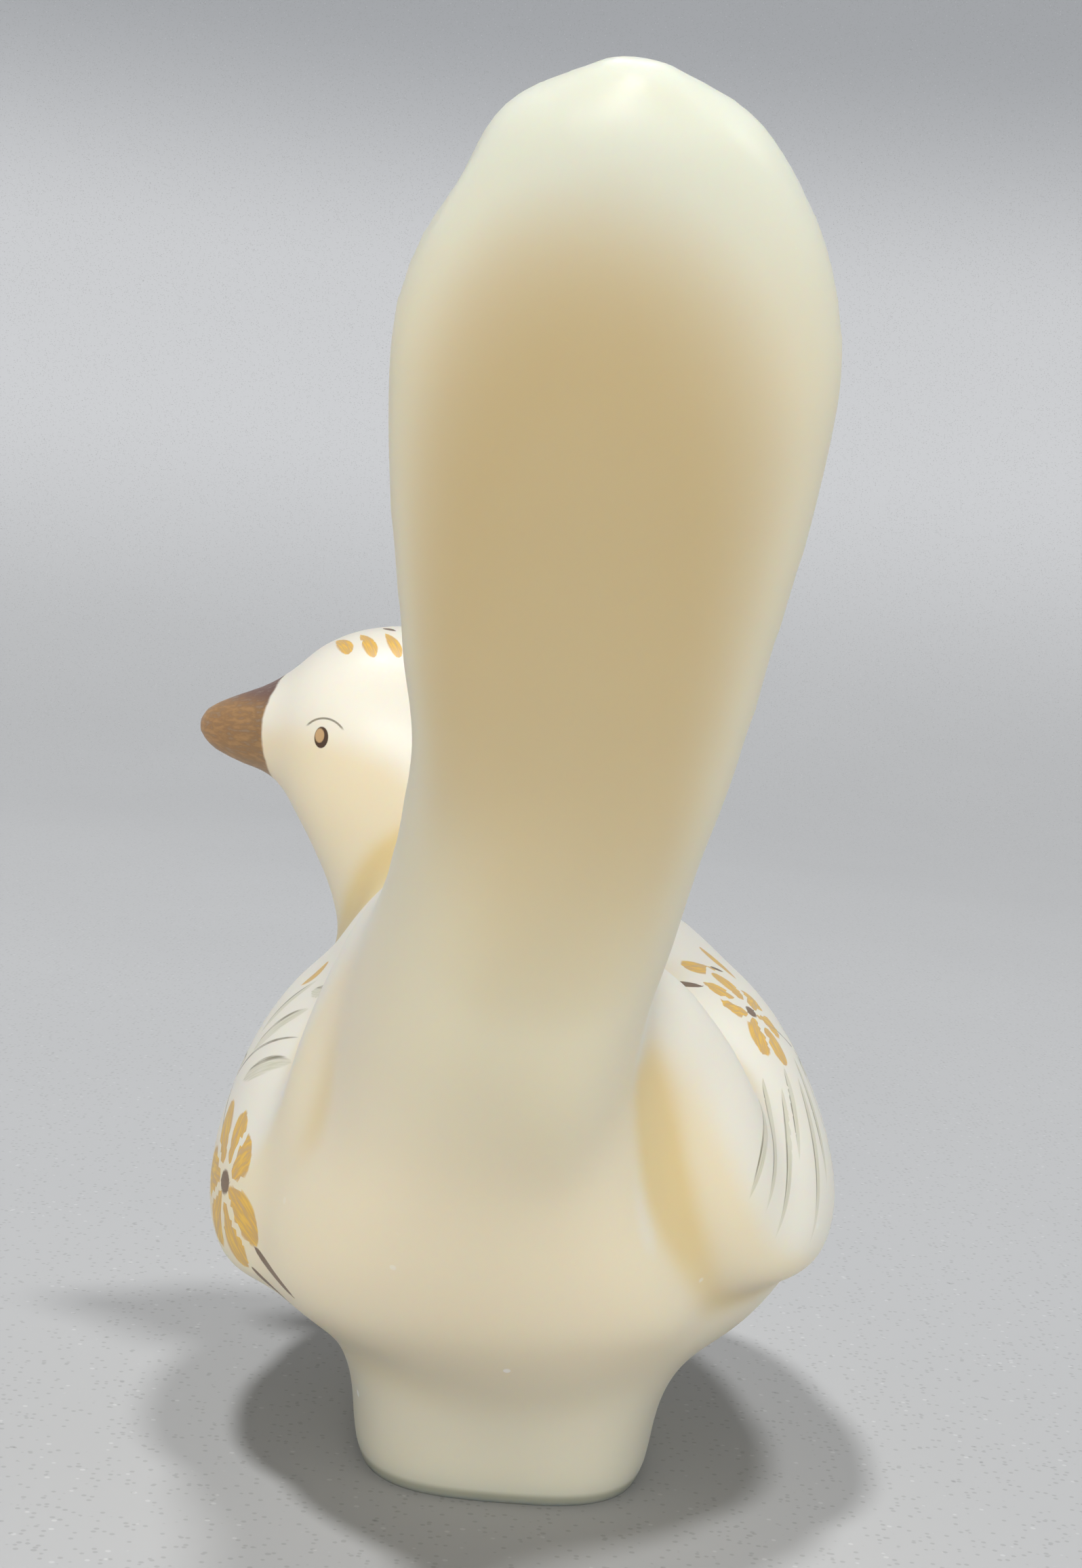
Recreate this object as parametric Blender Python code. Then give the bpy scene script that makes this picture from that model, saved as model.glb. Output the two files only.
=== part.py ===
"""A pressed glass bird figurine: a plump body on a short foot, a long raised tail and a turned head.

Metres, +Z up. The bird stands on the ground underside of its foot at z = 0 and faces -Y, so its left is +X.
It is one solid piece of glass: lofts for the trunk, rump, head, nape, foot and wings, run together into one
skin and rounded where they meet, as the hollows of a mould leave them.
"""

import math

import bmesh
import bpy
import numpy as np
from mathutils import Vector
from mathutils.bvhtree import BVHTree

MM = 0.001

# Trunk, from the breast to the root of the tail
BODY_LENGTH = 92.0 * MM  # breast to the middle of the rump
BODY_WIDTH = 65.0 * MM  # without the wings
BODY_RISE = 52.5 * MM  # belly to back
BREAST_Y = -52.0 * MM
BELLY_Z = 8.0 * MM  # the belly's lowest line, hidden in the foot

# Tail, a thick paddle that rises behind the body
TAIL_ROOT_Y = 30.0 * MM
TAIL_ROOT_Z = 42.5 * MM
TAIL_LENGTH = 115.3 * MM
TAIL_ANGLE = math.radians(43.5)  # above the horizon, at the root
TAIL_CURL = math.radians(6.0)  # how much steeper it is at the tip
TAIL_WIDTH = 32.0 * MM
TAIL_THICKNESS = 13.5 * MM  # where it is widest
TIP_LENGTH = 26.0 * MM  # the last part of the tail, which is a little askew
TIP_ASIDE = 0.5 * MM  # how far to the bird's left its end lies

# Head and neck
HEAD_TURN = math.radians(86.0)  # from straight ahead towards the bird's left
NECK_Y = -29.0 * MM
HEAD_TOP_Z = 87.7 * MM
BEAK_REACH = 43.8 * MM  # from the bird's middle to the tip of the beak
HEAD_RISE = 20.0 * MM  # chin to crown
HEAD_WIDTH = 26.6 * MM

# Nape, the saddle that runs from the turned neck back to the tail
NAPE_LENGTH = 70.0 * MM
NAPE_WIDTH = 40.0 * MM
NAPE_DEPTH = 34.0 * MM
NAPE_WIDEST = 0.25  # share of its depth at which it is widest
NAPE_TOP_Z = 66.0 * MM
NAPE_LEAN = 6.0 * MM  # how far to the bird's left it lies

# Foot
FOOT_WIDTH = 32.5 * MM
FOOT_LENGTH = 47.0 * MM
FOOT_Y = 0.0 * MM
FOOT_HEIGHT = 19.0 * MM
FOOT_FLARE = 10.5 * MM  # how far each side spreads where the foot runs into the belly
FOOT_FLARE_ENDS = 5.0 * MM  # the same before and behind
FOOT_EDGE = 1.4 * MM  # the rounding of its lower edge
FOOT_FLARE_POWER = 2.8  # how late it starts to spread
FOOT_SQUARENESS = (3.2, 2.1)  # power of its outline at the bottom and at the top
FOOT_GROUND_OFF = 4.0 * MM  # what the wheel takes off below z = 0

# Wings, folded lobes that stand a little proud of the flanks
WING_FRONT_Y = -38.0 * MM
WING_LENGTH = 61.0 * MM
WING_DEPTH = 35.6 * MM  # from its upper edge to its lower edge
WING_THICKNESS = 18.7 * MM
WING_TILT = math.radians(27.4)  # how far its upper edge leans in
WING_OUT = 22.0 * MM  # from the bird's middle to the wing's own middle
WING_Z = 38.0 * MM
WING_RAKE = 0.22  # how much further back its lower edge lies, as a share of its depth
LEFT_WING_DROP = 3.7 * MM  # how much lower than the right one the left wing hangs
LEFT_WING_OUT = 1.4 * MM  # how much further out it is
LEFT_WING_UPRIGHT = math.radians(10.4)  # and how much steeper
LEFT_SHOULDER_OUT = 5.5 * MM  # how much further out its rear edge starts at the tail
LEFT_SHOULDER_RISE = 8.0 * MM  # and how much higher
LEFT_SHOULDER_ROWS = 4  # rows of the edge over which both fade

# Feathers at the end of the tail
FEATHER_LINES = ((12.6 * MM, 1.0), (-1.4 * MM, 0.12), (-10.8 * MM, 0.08))  # across the tail; share of depth
FEATHER_DEPTH = 1.0 * MM
FEATHER_GROOVE = 2.2 * MM
FEATHER_LENGTH = 62.0 * MM
FEATHER_EDGE = (-0.7, -0.1)  # how far up the skin faces where the grooves start and are at full depth

# Mesh
RING_POINTS = 40
RINGS_PER_ROW = 5
SKIN_VOXEL = 1.1 * MM
ROUNDING = 45  # steps of smoothing at the joins
POLISH = 2  # and over the whole skin
BODY_BLEND = 7.0 * MM  # how far from a join the skin is rounded
WING_BLEND = 7.0 * MM  # the same at the lower and rear edges of the wings
WING_TOP_BLEND = 9.0 * MM  # and at their upper edges, which melt into the back
WING_TOP_Z = 50.0 * MM
LEFT_SOFTNESS = 0.8  # how far the joins on the bird's left side go towards the softer rounding
JOIN_FADE = 4.0 * MM  # half the width of the zone in which one kind of join turns into the other
SOLID_TRIANGLES = 8000


def clear_scene():
    for obj in list(bpy.data.objects):
        bpy.data.objects.remove(obj, do_unlink=True)


def smoothstep(low, high, value):
    t = np.clip((value - low) / (high - low), 0, 1)
    return t * t * (3 - 2 * t)


def smooth_rows(rows):
    """Rows of numbers read as one smooth curve, with RINGS_PER_ROW steps between two rows."""
    keys = np.array(rows, float)
    padded = np.vstack([2 * keys[0] - keys[1], keys, 2 * keys[-1] - keys[-2]])
    found = []
    for i in range(len(keys) - 1):
        a, b, c, d = padded[i : i + 4]
        for t in np.arange(RINGS_PER_ROW) / RINGS_PER_ROW:
            bend = (2 * a - 5 * b + 4 * c - d) * t**2 + (3 * b - a - 3 * c + d) * t**3
            found.append(b + 0.5 * ((c - a) * t + bend))
    found.append(keys[-1])
    return np.array(found)


def rounded(angle, power):
    """Cosine and sine of a superellipse: power 2 is a round, and more is squarer."""
    c, s = math.cos(angle), math.sin(angle)
    across = math.copysign(abs(c) ** (2 / power), c)
    return across, math.copysign(abs(s) ** (2 / power), s)


def ring(top, bottom, side, half_width, widest=0.5, upper_power=2.0, lower_power=2.0):
    """One closed section through top and bottom, half_width wide at a share `widest` of the way up."""
    middle = bottom.lerp(top, widest)
    points = []
    for i in range(RING_POINTS):
        angle = 2 * math.pi * i / RING_POINTS
        power = upper_power if math.cos(angle) > 0 else lower_power
        up, across = rounded(angle, power)
        reach = (top - middle) * up if up > 0 else (middle - bottom) * up
        points.append(middle + reach + side * (half_width * across))
    return points


def lofted(rings):
    """A closed shell through the rings in order."""
    bm = bmesh.new()
    loops = [[bm.verts.new(p) for p in points] for points in rings]
    for near, far in zip(loops, loops[1:]):
        for i in range(len(near)):
            j = (i + 1) % len(near)
            bm.faces.new((near[i], near[j], far[j], far[i]))
    bm.faces.new(list(reversed(loops[0])))
    bm.faces.new(loops[-1])
    bmesh.ops.recalc_face_normals(bm, faces=bm.faces)
    return bm


def tail_line(share):
    """The point and the direction of the tail's middle line, a share of the way from its root to its tip."""
    steps = 60
    point = Vector((0, TAIL_ROOT_Y, TAIL_ROOT_Z))
    angle = TAIL_ANGLE
    for i in range(int(round(share * steps))):
        angle = TAIL_ANGLE + TAIL_CURL * (i + 0.5) / steps
        point = point + Vector((0, math.cos(angle), math.sin(angle))) * (TAIL_LENGTH / steps)
    return point, Vector((0, math.cos(angle), math.sin(angle)))


def body_rows():
    """Back, belly, half width, widest level and powers of the body's sections, from the breast on."""
    shares = [
        (0.000, 0.530, 0.000, 0.490, 0.03, 0.50, 2.0, 2.0),
        (0.022, 0.720, 0.022, 0.310, 0.36, 0.46, 2.0, 2.0),
        (0.075, 0.870, 0.085, 0.160, 0.62, 0.43, 2.0, 1.9),
        (0.180, 0.975, 0.200, 0.040, 0.85, 0.39, 2.0, 1.9),
        (0.340, 1.010, 0.370, 0.000, 0.98, 0.36, 2.0, 2.2),
        (0.530, 1.000, 0.550, 0.000, 0.99, 0.36, 2.0, 2.2),
        (0.680, 0.990, 0.720, 0.025, 0.78, 0.32, 1.8, 2.1),
        (0.790, 1.000, 0.850, 0.095, 0.48, 0.36, 2.0, 2.1),
        (0.845, 1.020, 0.925, 0.240, 0.33, 0.42, 2.2, 2.1),
        (0.880, 1.040, 0.985, 0.440, 0.30, 0.45, 2.2, 2.0),
    ]
    length, rise = BODY_LENGTH, BODY_RISE
    rows = []
    for back_y, back_z, belly_y, belly_z, width, widest, upper, lower in shares:
        back = (BREAST_Y + back_y * length, BELLY_Z + back_z * rise)
        belly = (BREAST_Y + belly_y * length, BELLY_Z + belly_z * rise)
        rows.append((*back, *belly, width * BODY_WIDTH / 2, widest, upper, lower))
    return rows


def tail_rows():
    """The same for the tail: how far along, half width, half thickness and power."""
    shares = [
        (0.165, 0.600, 1.92, 2.0),
        (0.270, 0.680, 1.60, 2.0),
        (0.360, 0.760, 1.34, 2.0),
        (0.455, 0.842, 1.18, 2.1),
        (0.560, 0.905, 1.07, 2.1),
        (0.660, 0.970, 1.01, 2.1),
        (0.750, 1.000, 0.98, 2.1),
        (0.820, 0.985, 0.93, 2.1),
        (0.880, 0.870, 0.84, 2.1),
        (0.930, 0.695, 0.70, 2.1),
        (0.967, 0.505, 0.55, 2.0),
        (0.990, 0.310, 0.35, 2.0),
        (1.000, 0.120, 0.14, 2.0),
    ]
    rows = []
    for share, width, thickness, power in shares:
        point, ahead = tail_line(share)
        up = Vector((0, -ahead.z, ahead.y)) * (thickness * TAIL_THICKNESS / 2)
        top, bottom = point + up, point - up
        rows.append((top.y, top.z, bottom.y, bottom.z, width * TAIL_WIDTH / 2, 0.5, power, power))
    return rows


def trunk():
    """Breast, body, rump and tail as one loft."""
    across = Vector((1, 0, 0))
    rings = []
    for top_y, top_z, low_y, low_z, half, widest, upper, lower in smooth_rows(body_rows() + tail_rows()):
        top, low = Vector((0, top_y, top_z)), Vector((0, low_y, low_z))
        rings.append(ring(top, low, across, half, widest, upper, lower))
    return lofted(rings)


def rump():
    """The broad face below the tail, from the tail's root down into the foot, as level sections."""
    # Level, then rearmost, widest and foremost place, as shares of the body's rise and length; then the
    # reach to the bird's left and to its right as shares of half the body's width
    rows = [
        (-0.04, 0.822, 0.59, 0.50, 0.50, 0.50),
        (0.04, 0.836, 0.60, 0.50, 0.535, 0.535),
        (0.11, 0.868, 0.64, 0.50, 0.63, 0.60),
        (0.17, 0.900, 0.68, 0.51, 0.745, 0.61),
        (0.23, 0.930, 0.72, 0.52, 0.81, 0.64),
        (0.34, 0.971, 0.77, 0.54, 0.83, 0.60),
        (0.46, 1.012, 0.82, 0.58, 0.75, 0.49),
        (0.57, 1.055, 0.85, 0.62, 0.66, 0.41),
        (0.69, 1.112, 0.87, 0.66, 0.62, 0.365),
        (0.80, 1.165, 0.90, 0.72, 0.60, 0.330),
        (0.91, 1.212, 0.95, 0.82, 0.565, 0.310),
        (1.03, 1.264, 1.01, 0.92, 0.520, 0.300),
        (1.14, 1.310, 1.11, 1.04, 0.465, 0.310),
        (1.26, 1.360, 1.20, 1.12, 0.435, 0.320),
        (1.38, 1.410, 1.28, 1.20, 0.425, 0.300),
    ]
    rings = []
    for height, rear, widest, front, left, right in smooth_rows(rows):
        middle = (left - right) / 2 * BODY_WIDTH / 2
        level = BELLY_Z + height * BODY_RISE
        hind = Vector((middle, BREAST_Y + rear * BODY_LENGTH, level))
        fore = Vector((middle, BREAST_Y + front * BODY_LENGTH, level))
        share = (widest - front) / (rear - front)
        rings.append(ring(hind, fore, Vector((1, 0, 0)), (left + right) / 2 * BODY_WIDTH / 2, share))
    return lofted(rings)


def head():
    """Beak, head and neck as one loft, in the upright plane that the head is turned to."""
    ahead = Vector((math.sin(HEAD_TURN), -math.cos(HEAD_TURN), 0))
    side = Vector((ahead.y, -ahead.x, 0))
    # Upper line and lower line, as shares of the beak's reach and, down from the crown, of the head's rise;
    # then the half width as a share of the head's, from the beak's tip to the neck's end inside the body
    rows = [
        (1.000, 0.660, 1.000, 0.745, 0.06),
        (0.975, 0.590, 0.962, 0.835, 0.19),
        (0.905, 0.510, 0.885, 0.910, 0.32),
        (0.815, 0.425, 0.790, 0.975, 0.45),
        (0.740, 0.310, 0.735, 1.080, 0.63),
        (0.660, 0.150, 0.700, 1.200, 0.81),
        (0.545, 0.035, 0.665, 1.320, 0.94),
        (0.390, 0.000, 0.630, 1.460, 1.00),
        (0.225, 0.090, 0.600, 1.590, 1.02),
        (0.090, 0.320, 0.580, 1.720, 1.04),
        (0.000, 0.640, 0.562, 1.860, 1.07),
        (-0.070, 0.980, 0.545, 2.030, 1.13),
        (-0.150, 1.380, 0.520, 2.260, 1.22),
        (-0.230, 1.840, 0.460, 2.560, 1.26),
        (-0.150, 2.250, 0.250, 2.700, 0.80),
    ]
    rings = []
    for upper, upper_drop, lower, lower_drop, width in smooth_rows(rows):
        top = ahead * (upper * BEAK_REACH) + Vector((0, NECK_Y, HEAD_TOP_Z - upper_drop * HEAD_RISE))
        bottom = ahead * (lower * BEAK_REACH) + Vector((0, NECK_Y, HEAD_TOP_Z - lower_drop * HEAD_RISE))
        rings.append(ring(top, bottom, side, width * HEAD_WIDTH / 2))
    return lofted(rings)


def nape():
    """The saddle of the back. It leans with the neck and runs out in the root of the tail."""
    # Share of its length from the neck back, height and half width as shares, and lean to the bird's left
    rows = [
        (0.00, 0.92, 0.40, 1.10),
        (0.08, 0.96, 0.80, 1.08),
        (0.30, 0.97, 1.00, 1.00),
        (0.55, 0.97, 1.00, 0.80),
        (0.78, 0.99, 0.80, 0.60),
        (0.92, 1.01, 0.52, 0.48),
        (1.00, 1.04, 0.30, 0.40),
    ]
    rings = []
    for share, height, width, lean in smooth_rows(rows):
        top = Vector((lean * NAPE_LEAN, NECK_Y + share * NAPE_LENGTH, height * NAPE_TOP_Z))
        low = top - Vector((0, 0, NAPE_DEPTH))
        rings.append(ring(top, low, Vector((1, 0, 0)), width * NAPE_WIDTH / 2, NAPE_WIDEST))
    return lofted(rings)


def foot():
    """The short flared foot. It runs below z = 0, where it is ground off flat."""
    steps = 24
    rings = []
    for i in range(-1, steps + 1):
        share = max(0.0, i / steps)
        z = share * FOOT_HEIGHT if i >= 0 else -FOOT_GROUND_OFF
        undercut = FOOT_EDGE * max(0.0, 1 - max(z, 0.0) / FOOT_EDGE) ** 2
        half_x = FOOT_WIDTH / 2 - undercut + FOOT_FLARE * share**FOOT_FLARE_POWER
        half_y = FOOT_LENGTH / 2 - undercut + FOOT_FLARE_ENDS * share**FOOT_FLARE_POWER
        power = FOOT_SQUARENESS[0] + (FOOT_SQUARENESS[1] - FOOT_SQUARENESS[0]) * share
        points = []
        for k in range(RING_POINTS):
            c, s = rounded(2 * math.pi * k / RING_POINTS, power)
            points.append(Vector((half_x * c, FOOT_Y + half_y * s, z)))
        rings.append(points)
    return lofted(rings)


def wing(hand):
    """One folded wing: hand is 1 for the bird's left and -1 for its right."""
    # Share of its length from the front, distance from the bird's middle, depth and thickness as shares
    rows = [
        (0.00, 0.74, 0.26, 0.30),
        (0.06, 0.80, 0.52, 0.58),
        (0.20, 0.90, 0.80, 0.84),
        (0.45, 1.00, 1.00, 1.00),
        (0.69, 0.99, 0.99, 1.00),
        (0.84, 0.91, 0.92, 0.95),
        (0.93, 0.83, 0.79, 0.84),
        (0.98, 0.78, 0.58, 0.64),
        (1.00, 0.73, 0.30, 0.32),
    ]
    left = hand > 0
    tilt = WING_TILT - (LEFT_WING_UPRIGHT if left else 0)
    height = WING_Z - (LEFT_WING_DROP if left else 0)
    down = Vector((hand * math.sin(tilt), WING_RAKE, -math.cos(tilt)))
    outward = Vector((hand * math.cos(tilt), 0, math.sin(tilt)))
    rings = []
    for share, out, depth, thickness in smooth_rows(rows):
        x = out * WING_OUT + (LEFT_WING_OUT if left else 0)
        middle = Vector((hand * x, WING_FRONT_Y + share * WING_LENGTH, height))
        reach = down * (depth * WING_DEPTH / 2)
        half = thickness * WING_THICKNESS / 2
        rings.append(ring(middle - reach, middle + reach, outward, half, 0.5, 2.0, 2.2))
    return lofted(rings)


def wing_edge(hand):
    """The thick rear edge of one wing, from the root of the tail down to the wing's lower edge."""
    # Shares of half the body's width, of its length from the breast and of its rise from the belly, then of
    # half the wing's thickness
    rows = [
        (0.12, 1.040, 0.960, 0.39),
        (0.27, 0.950, 0.870, 0.58),
        (0.37, 0.880, 0.752, 0.76),
        (0.46, 0.832, 0.629, 0.88),
        (0.55, 0.792, 0.505, 0.90),
        (0.63, 0.745, 0.400, 0.80),
        (0.675, 0.653, 0.343, 0.55),
    ]
    path = []
    for i, (out, along, height, radius) in enumerate(smooth_rows(rows)):
        raised = max(0.0, 1 - i / (LEFT_SHOULDER_ROWS * RINGS_PER_ROW)) if hand > 0 else 0
        x = out * BODY_WIDTH / 2 + raised * LEFT_SHOULDER_OUT
        z = BELLY_Z + height * BODY_RISE + raised * LEFT_SHOULDER_RISE
        path.append((Vector((hand * x, BREAST_Y + along * BODY_LENGTH, z)), radius * WING_THICKNESS / 2))
    rings = []
    for i, (point, radius) in enumerate(path):
        ahead = (path[min(i + 1, len(path) - 1)][0] - path[max(i - 1, 0)][0]).normalized()
        side = ahead.cross(Vector((hand, 0, 0))).normalized()
        outward = side.cross(ahead)
        rings.append(ring(point + outward * radius, point - outward * radius, side, radius))
    return lofted(rings)


def applied(obj):
    """The object with its mesh as its modifiers leave it."""
    graph = bpy.context.evaluated_depsgraph_get()
    graph.update()
    mesh = bpy.data.meshes.new_from_object(obj.evaluated_get(graph))
    obj.modifiers.clear()
    obj.data = mesh
    return obj


def run_together(obj, shells, low_radius, high_radius):
    """One closed skin around the shells, rounded within low_radius of where two of them meet. Above the tops
    of the wings, and in part on the bird's left side, the radius grows to high_radius."""
    whole = bmesh.new()
    for shell in shells:
        shell.to_mesh(obj.data)
        whole.from_mesh(obj.data)
    whole.to_mesh(obj.data)
    remesh = obj.modifiers.new("skin", "REMESH")
    remesh.mode = "VOXEL"
    remesh.voxel_size = SKIN_VOXEL
    applied(obj)
    trees = [BVHTree.FromBMesh(shell) for shell in shells]
    obj.vertex_groups.clear()
    joins = obj.vertex_groups.new(name="joins")
    for vertex in obj.data.vertices:
        distances = sorted(tree.find_nearest(vertex.co)[3] for tree in trees)
        above = smoothstep(-JOIN_FADE, JOIN_FADE, vertex.co.z - WING_TOP_Z)
        left = LEFT_SOFTNESS * smoothstep(-JOIN_FADE, JOIN_FADE, vertex.co.x)
        radius = low_radius + (high_radius - low_radius) * max(above, left)
        weight = max(0.0, 1 - distances[1] / radius) * min(1.0, radius / BODY_BLEND)
        if weight > 0:
            joins.add([vertex.index], weight, "REPLACE")
    blend = obj.modifiers.new("blend", "SMOOTH")
    blend.vertex_group = joins.name
    blend.iterations = ROUNDING
    polish = obj.modifiers.new("polish", "SMOOTH")
    polish.iterations = POLISH
    return applied(obj)


def shell_of(obj):
    bm = bmesh.new()
    bm.from_mesh(obj.data)
    return bm


def whole_wing(hand):
    """A wing run together with its rear edge."""
    helper = bpy.data.objects.new("wing", bpy.data.meshes.new("wing"))
    bpy.context.scene.collection.objects.link(helper)
    run_together(helper, [wing(hand), wing_edge(hand)], BODY_BLEND, BODY_BLEND)
    shell = shell_of(helper)
    bpy.data.objects.remove(helper, do_unlink=True)
    return shell


def coordinates(obj, what="co"):
    values = np.empty(len(obj.data.vertices) * 3)
    obj.data.vertices.foreach_get(what, values)
    return values.reshape(-1, 3)


def tail_places(points, length):
    """How far along the last length of the tail each point lies, and the way in which the tail points."""
    root, tip = tail_line(0)[0], tail_line(1)[0]
    ahead = np.array(tip - root) / (tip - root).length
    return (points - np.array(tip)) @ ahead + length, ahead


def skew_tip(obj):
    """Draws the end of the tail a little to the bird's left."""
    points = coordinates(obj)
    along = tail_places(points, TIP_LENGTH)[0]
    points[:, 0] += TIP_ASIDE * smoothstep(0, TIP_LENGTH, along)
    obj.data.vertices.foreach_set("co", points.ravel())
    obj.data.update()


def feather_grooves(obj):
    """Shallow grooves on the tail's upper face that end as notches in its rounded tip."""
    points, normals = coordinates(obj), coordinates(obj, "normal")
    along, ahead = tail_places(points, FEATHER_LENGTH)
    upper = smoothstep(*FEATHER_EDGE, normals @ np.array((0, -ahead[2], ahead[1])))
    depth = np.zeros(len(points))
    for line, share in FEATHER_LINES:
        groove = np.exp(-(((points[:, 0] - line) / FEATHER_GROOVE) ** 2))
        depth += share * FEATHER_DEPTH * groove * smoothstep(0, FEATHER_LENGTH, along) * upper
    obj.data.vertices.foreach_set("co", (points - normals * depth[:, None]).ravel())
    obj.data.update()


def grind_foot(obj):
    """Cuts the foot off flat at z = 0, as the wheel grinds it."""
    bm = bmesh.new()
    bm.from_mesh(obj.data)
    everything = bm.verts[:] + bm.edges[:] + bm.faces[:]
    down = (0, 0, -1)
    cut = bmesh.ops.bisect_plane(bm, geom=everything, plane_co=(0, 0, 0), plane_no=down, clear_outer=True)
    rim = [item for item in cut["geom_cut"] if isinstance(item, bmesh.types.BMEdge)]
    bmesh.ops.edgeloop_fill(bm, edges=rim)
    bmesh.ops.triangulate(bm, faces=bm.faces)
    bmesh.ops.recalc_face_normals(bm, faces=bm.faces)
    bm.to_mesh(obj.data)
    bm.free()


def thin_out(obj):
    """Leaves about SOLID_TRIANGLES triangles, close together only where the form is tight."""
    thin = obj.modifiers.new("thin_out", "DECIMATE")
    thin.ratio = SOLID_TRIANGLES / len(obj.data.polygons)
    applied(obj)


def glass():
    material = bpy.data.materials.new("satin_custard_glass")
    material.use_nodes = True
    shader = material.node_tree.nodes["Principled BSDF"]
    shader.inputs["Base Color"].default_value = (0.86, 0.79, 0.60, 1)
    shader.inputs["Roughness"].default_value = 0.45
    shader.inputs["Metallic"].default_value = 0
    return material


def main():
    clear_scene()
    bird = bpy.data.objects.new("bird", bpy.data.meshes.new("bird"))
    bpy.context.scene.collection.objects.link(bird)
    run_together(bird, [trunk(), rump(), head(), nape(), foot()], BODY_BLEND, BODY_BLEND)
    run_together(bird, [shell_of(bird), whole_wing(1), whole_wing(-1)], WING_BLEND, WING_TOP_BLEND)
    skew_tip(bird)
    feather_grooves(bird)
    grind_foot(bird)
    thin_out(bird)
    bird.data.materials.clear()
    bird.data.materials.append(glass())
    bird.data.shade_smooth()
    bird.data.set_sharp_from_angle(angle=math.radians(50))


main()
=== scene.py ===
"""The looks of the glass bird: its fine skin, the satin glass with its brushed decoration, and the studio.

Metres, +Z up. The bird stands on the floor at z = 0 and faces -Y, so its left is +X. The camera stands
behind it.
"""

import math

import bmesh
import bpy
import numpy as np
from mathutils import Matrix, Vector
from mathutils.bvhtree import BVHTree


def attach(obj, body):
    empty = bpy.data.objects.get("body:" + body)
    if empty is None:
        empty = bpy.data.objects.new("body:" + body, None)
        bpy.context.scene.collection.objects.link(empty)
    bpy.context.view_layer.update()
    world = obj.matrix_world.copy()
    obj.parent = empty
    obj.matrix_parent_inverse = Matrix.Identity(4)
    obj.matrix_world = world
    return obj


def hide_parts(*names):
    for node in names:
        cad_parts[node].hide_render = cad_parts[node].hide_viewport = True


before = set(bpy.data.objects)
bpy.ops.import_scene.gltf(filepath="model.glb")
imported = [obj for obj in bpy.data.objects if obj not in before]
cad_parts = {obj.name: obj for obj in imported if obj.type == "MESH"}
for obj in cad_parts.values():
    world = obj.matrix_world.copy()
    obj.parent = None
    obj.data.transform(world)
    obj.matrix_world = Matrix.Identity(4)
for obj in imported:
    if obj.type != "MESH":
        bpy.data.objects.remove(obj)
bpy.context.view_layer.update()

MM = 0.001

# Trunk, from the breast to the root of the tail
BODY_LENGTH = 92.0 * MM  # breast to the middle of the rump
BODY_WIDTH = 65.0 * MM  # without the wings
BODY_RISE = 52.5 * MM  # belly to back
BREAST_Y = -52.0 * MM
BELLY_Z = 8.0 * MM  # the belly's lowest line, hidden in the foot

# Tail, a thick paddle that rises behind the body
TAIL_ROOT_Y = 30.0 * MM
TAIL_ROOT_Z = 42.5 * MM
TAIL_LENGTH = 115.3 * MM
TAIL_ANGLE = math.radians(43.5)  # above the horizon, at the root
TAIL_CURL = math.radians(6.0)  # how much steeper it is at the tip
TAIL_WIDTH = 32.0 * MM
TAIL_THICKNESS = 13.5 * MM  # where it is widest
TIP_LENGTH = 26.0 * MM  # the last part of the tail, which is a little askew
TIP_ASIDE = 0.5 * MM  # how far to the bird's left its end lies

# Head and neck
HEAD_TURN = math.radians(86.0)  # from straight ahead towards the bird's left
NECK_Y = -29.0 * MM
HEAD_TOP_Z = 87.7 * MM
BEAK_REACH = 43.8 * MM  # from the bird's middle to the tip of the beak
HEAD_RISE = 20.0 * MM  # chin to crown
HEAD_WIDTH = 26.6 * MM

# Nape, the saddle that runs from the turned neck back to the tail
NAPE_LENGTH = 70.0 * MM
NAPE_WIDTH = 40.0 * MM
NAPE_DEPTH = 34.0 * MM
NAPE_WIDEST = 0.25  # share of its depth at which it is widest
NAPE_TOP_Z = 66.0 * MM
NAPE_LEAN = 6.0 * MM  # how far to the bird's left it lies

# Foot
FOOT_WIDTH = 32.5 * MM
FOOT_LENGTH = 47.0 * MM
FOOT_Y = 0.0 * MM
FOOT_HEIGHT = 19.0 * MM
FOOT_FLARE = 10.5 * MM  # how far each side spreads where the foot runs into the belly
FOOT_FLARE_ENDS = 5.0 * MM  # the same before and behind
FOOT_EDGE = 1.4 * MM  # the rounding of its lower edge
FOOT_FLARE_POWER = 2.8  # how late it starts to spread
FOOT_SQUARENESS = (3.2, 2.1)  # power of its outline at the bottom and at the top
FOOT_GROUND_OFF = 4.0 * MM  # what the wheel takes off below z = 0

# Wings, folded lobes that stand a little proud of the flanks
WING_FRONT_Y = -38.0 * MM
WING_LENGTH = 61.0 * MM
WING_DEPTH = 35.6 * MM  # from its upper edge to its lower edge
WING_THICKNESS = 18.7 * MM
WING_TILT = math.radians(27.4)  # how far its upper edge leans in
WING_OUT = 22.0 * MM  # from the bird's middle to the wing's own middle
WING_Z = 38.0 * MM
WING_RAKE = 0.22  # how much further back its lower edge lies, as a share of its depth
LEFT_WING_DROP = 3.7 * MM  # how much lower than the right one the left wing hangs
LEFT_WING_OUT = 1.4 * MM  # how much further out it is
LEFT_WING_UPRIGHT = math.radians(10.4)  # and how much steeper
LEFT_SHOULDER_OUT = 5.5 * MM  # how much further out its rear edge starts at the tail
LEFT_SHOULDER_RISE = 8.0 * MM  # and how much higher
LEFT_SHOULDER_ROWS = 4  # rows of the edge over which both fade

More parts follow.
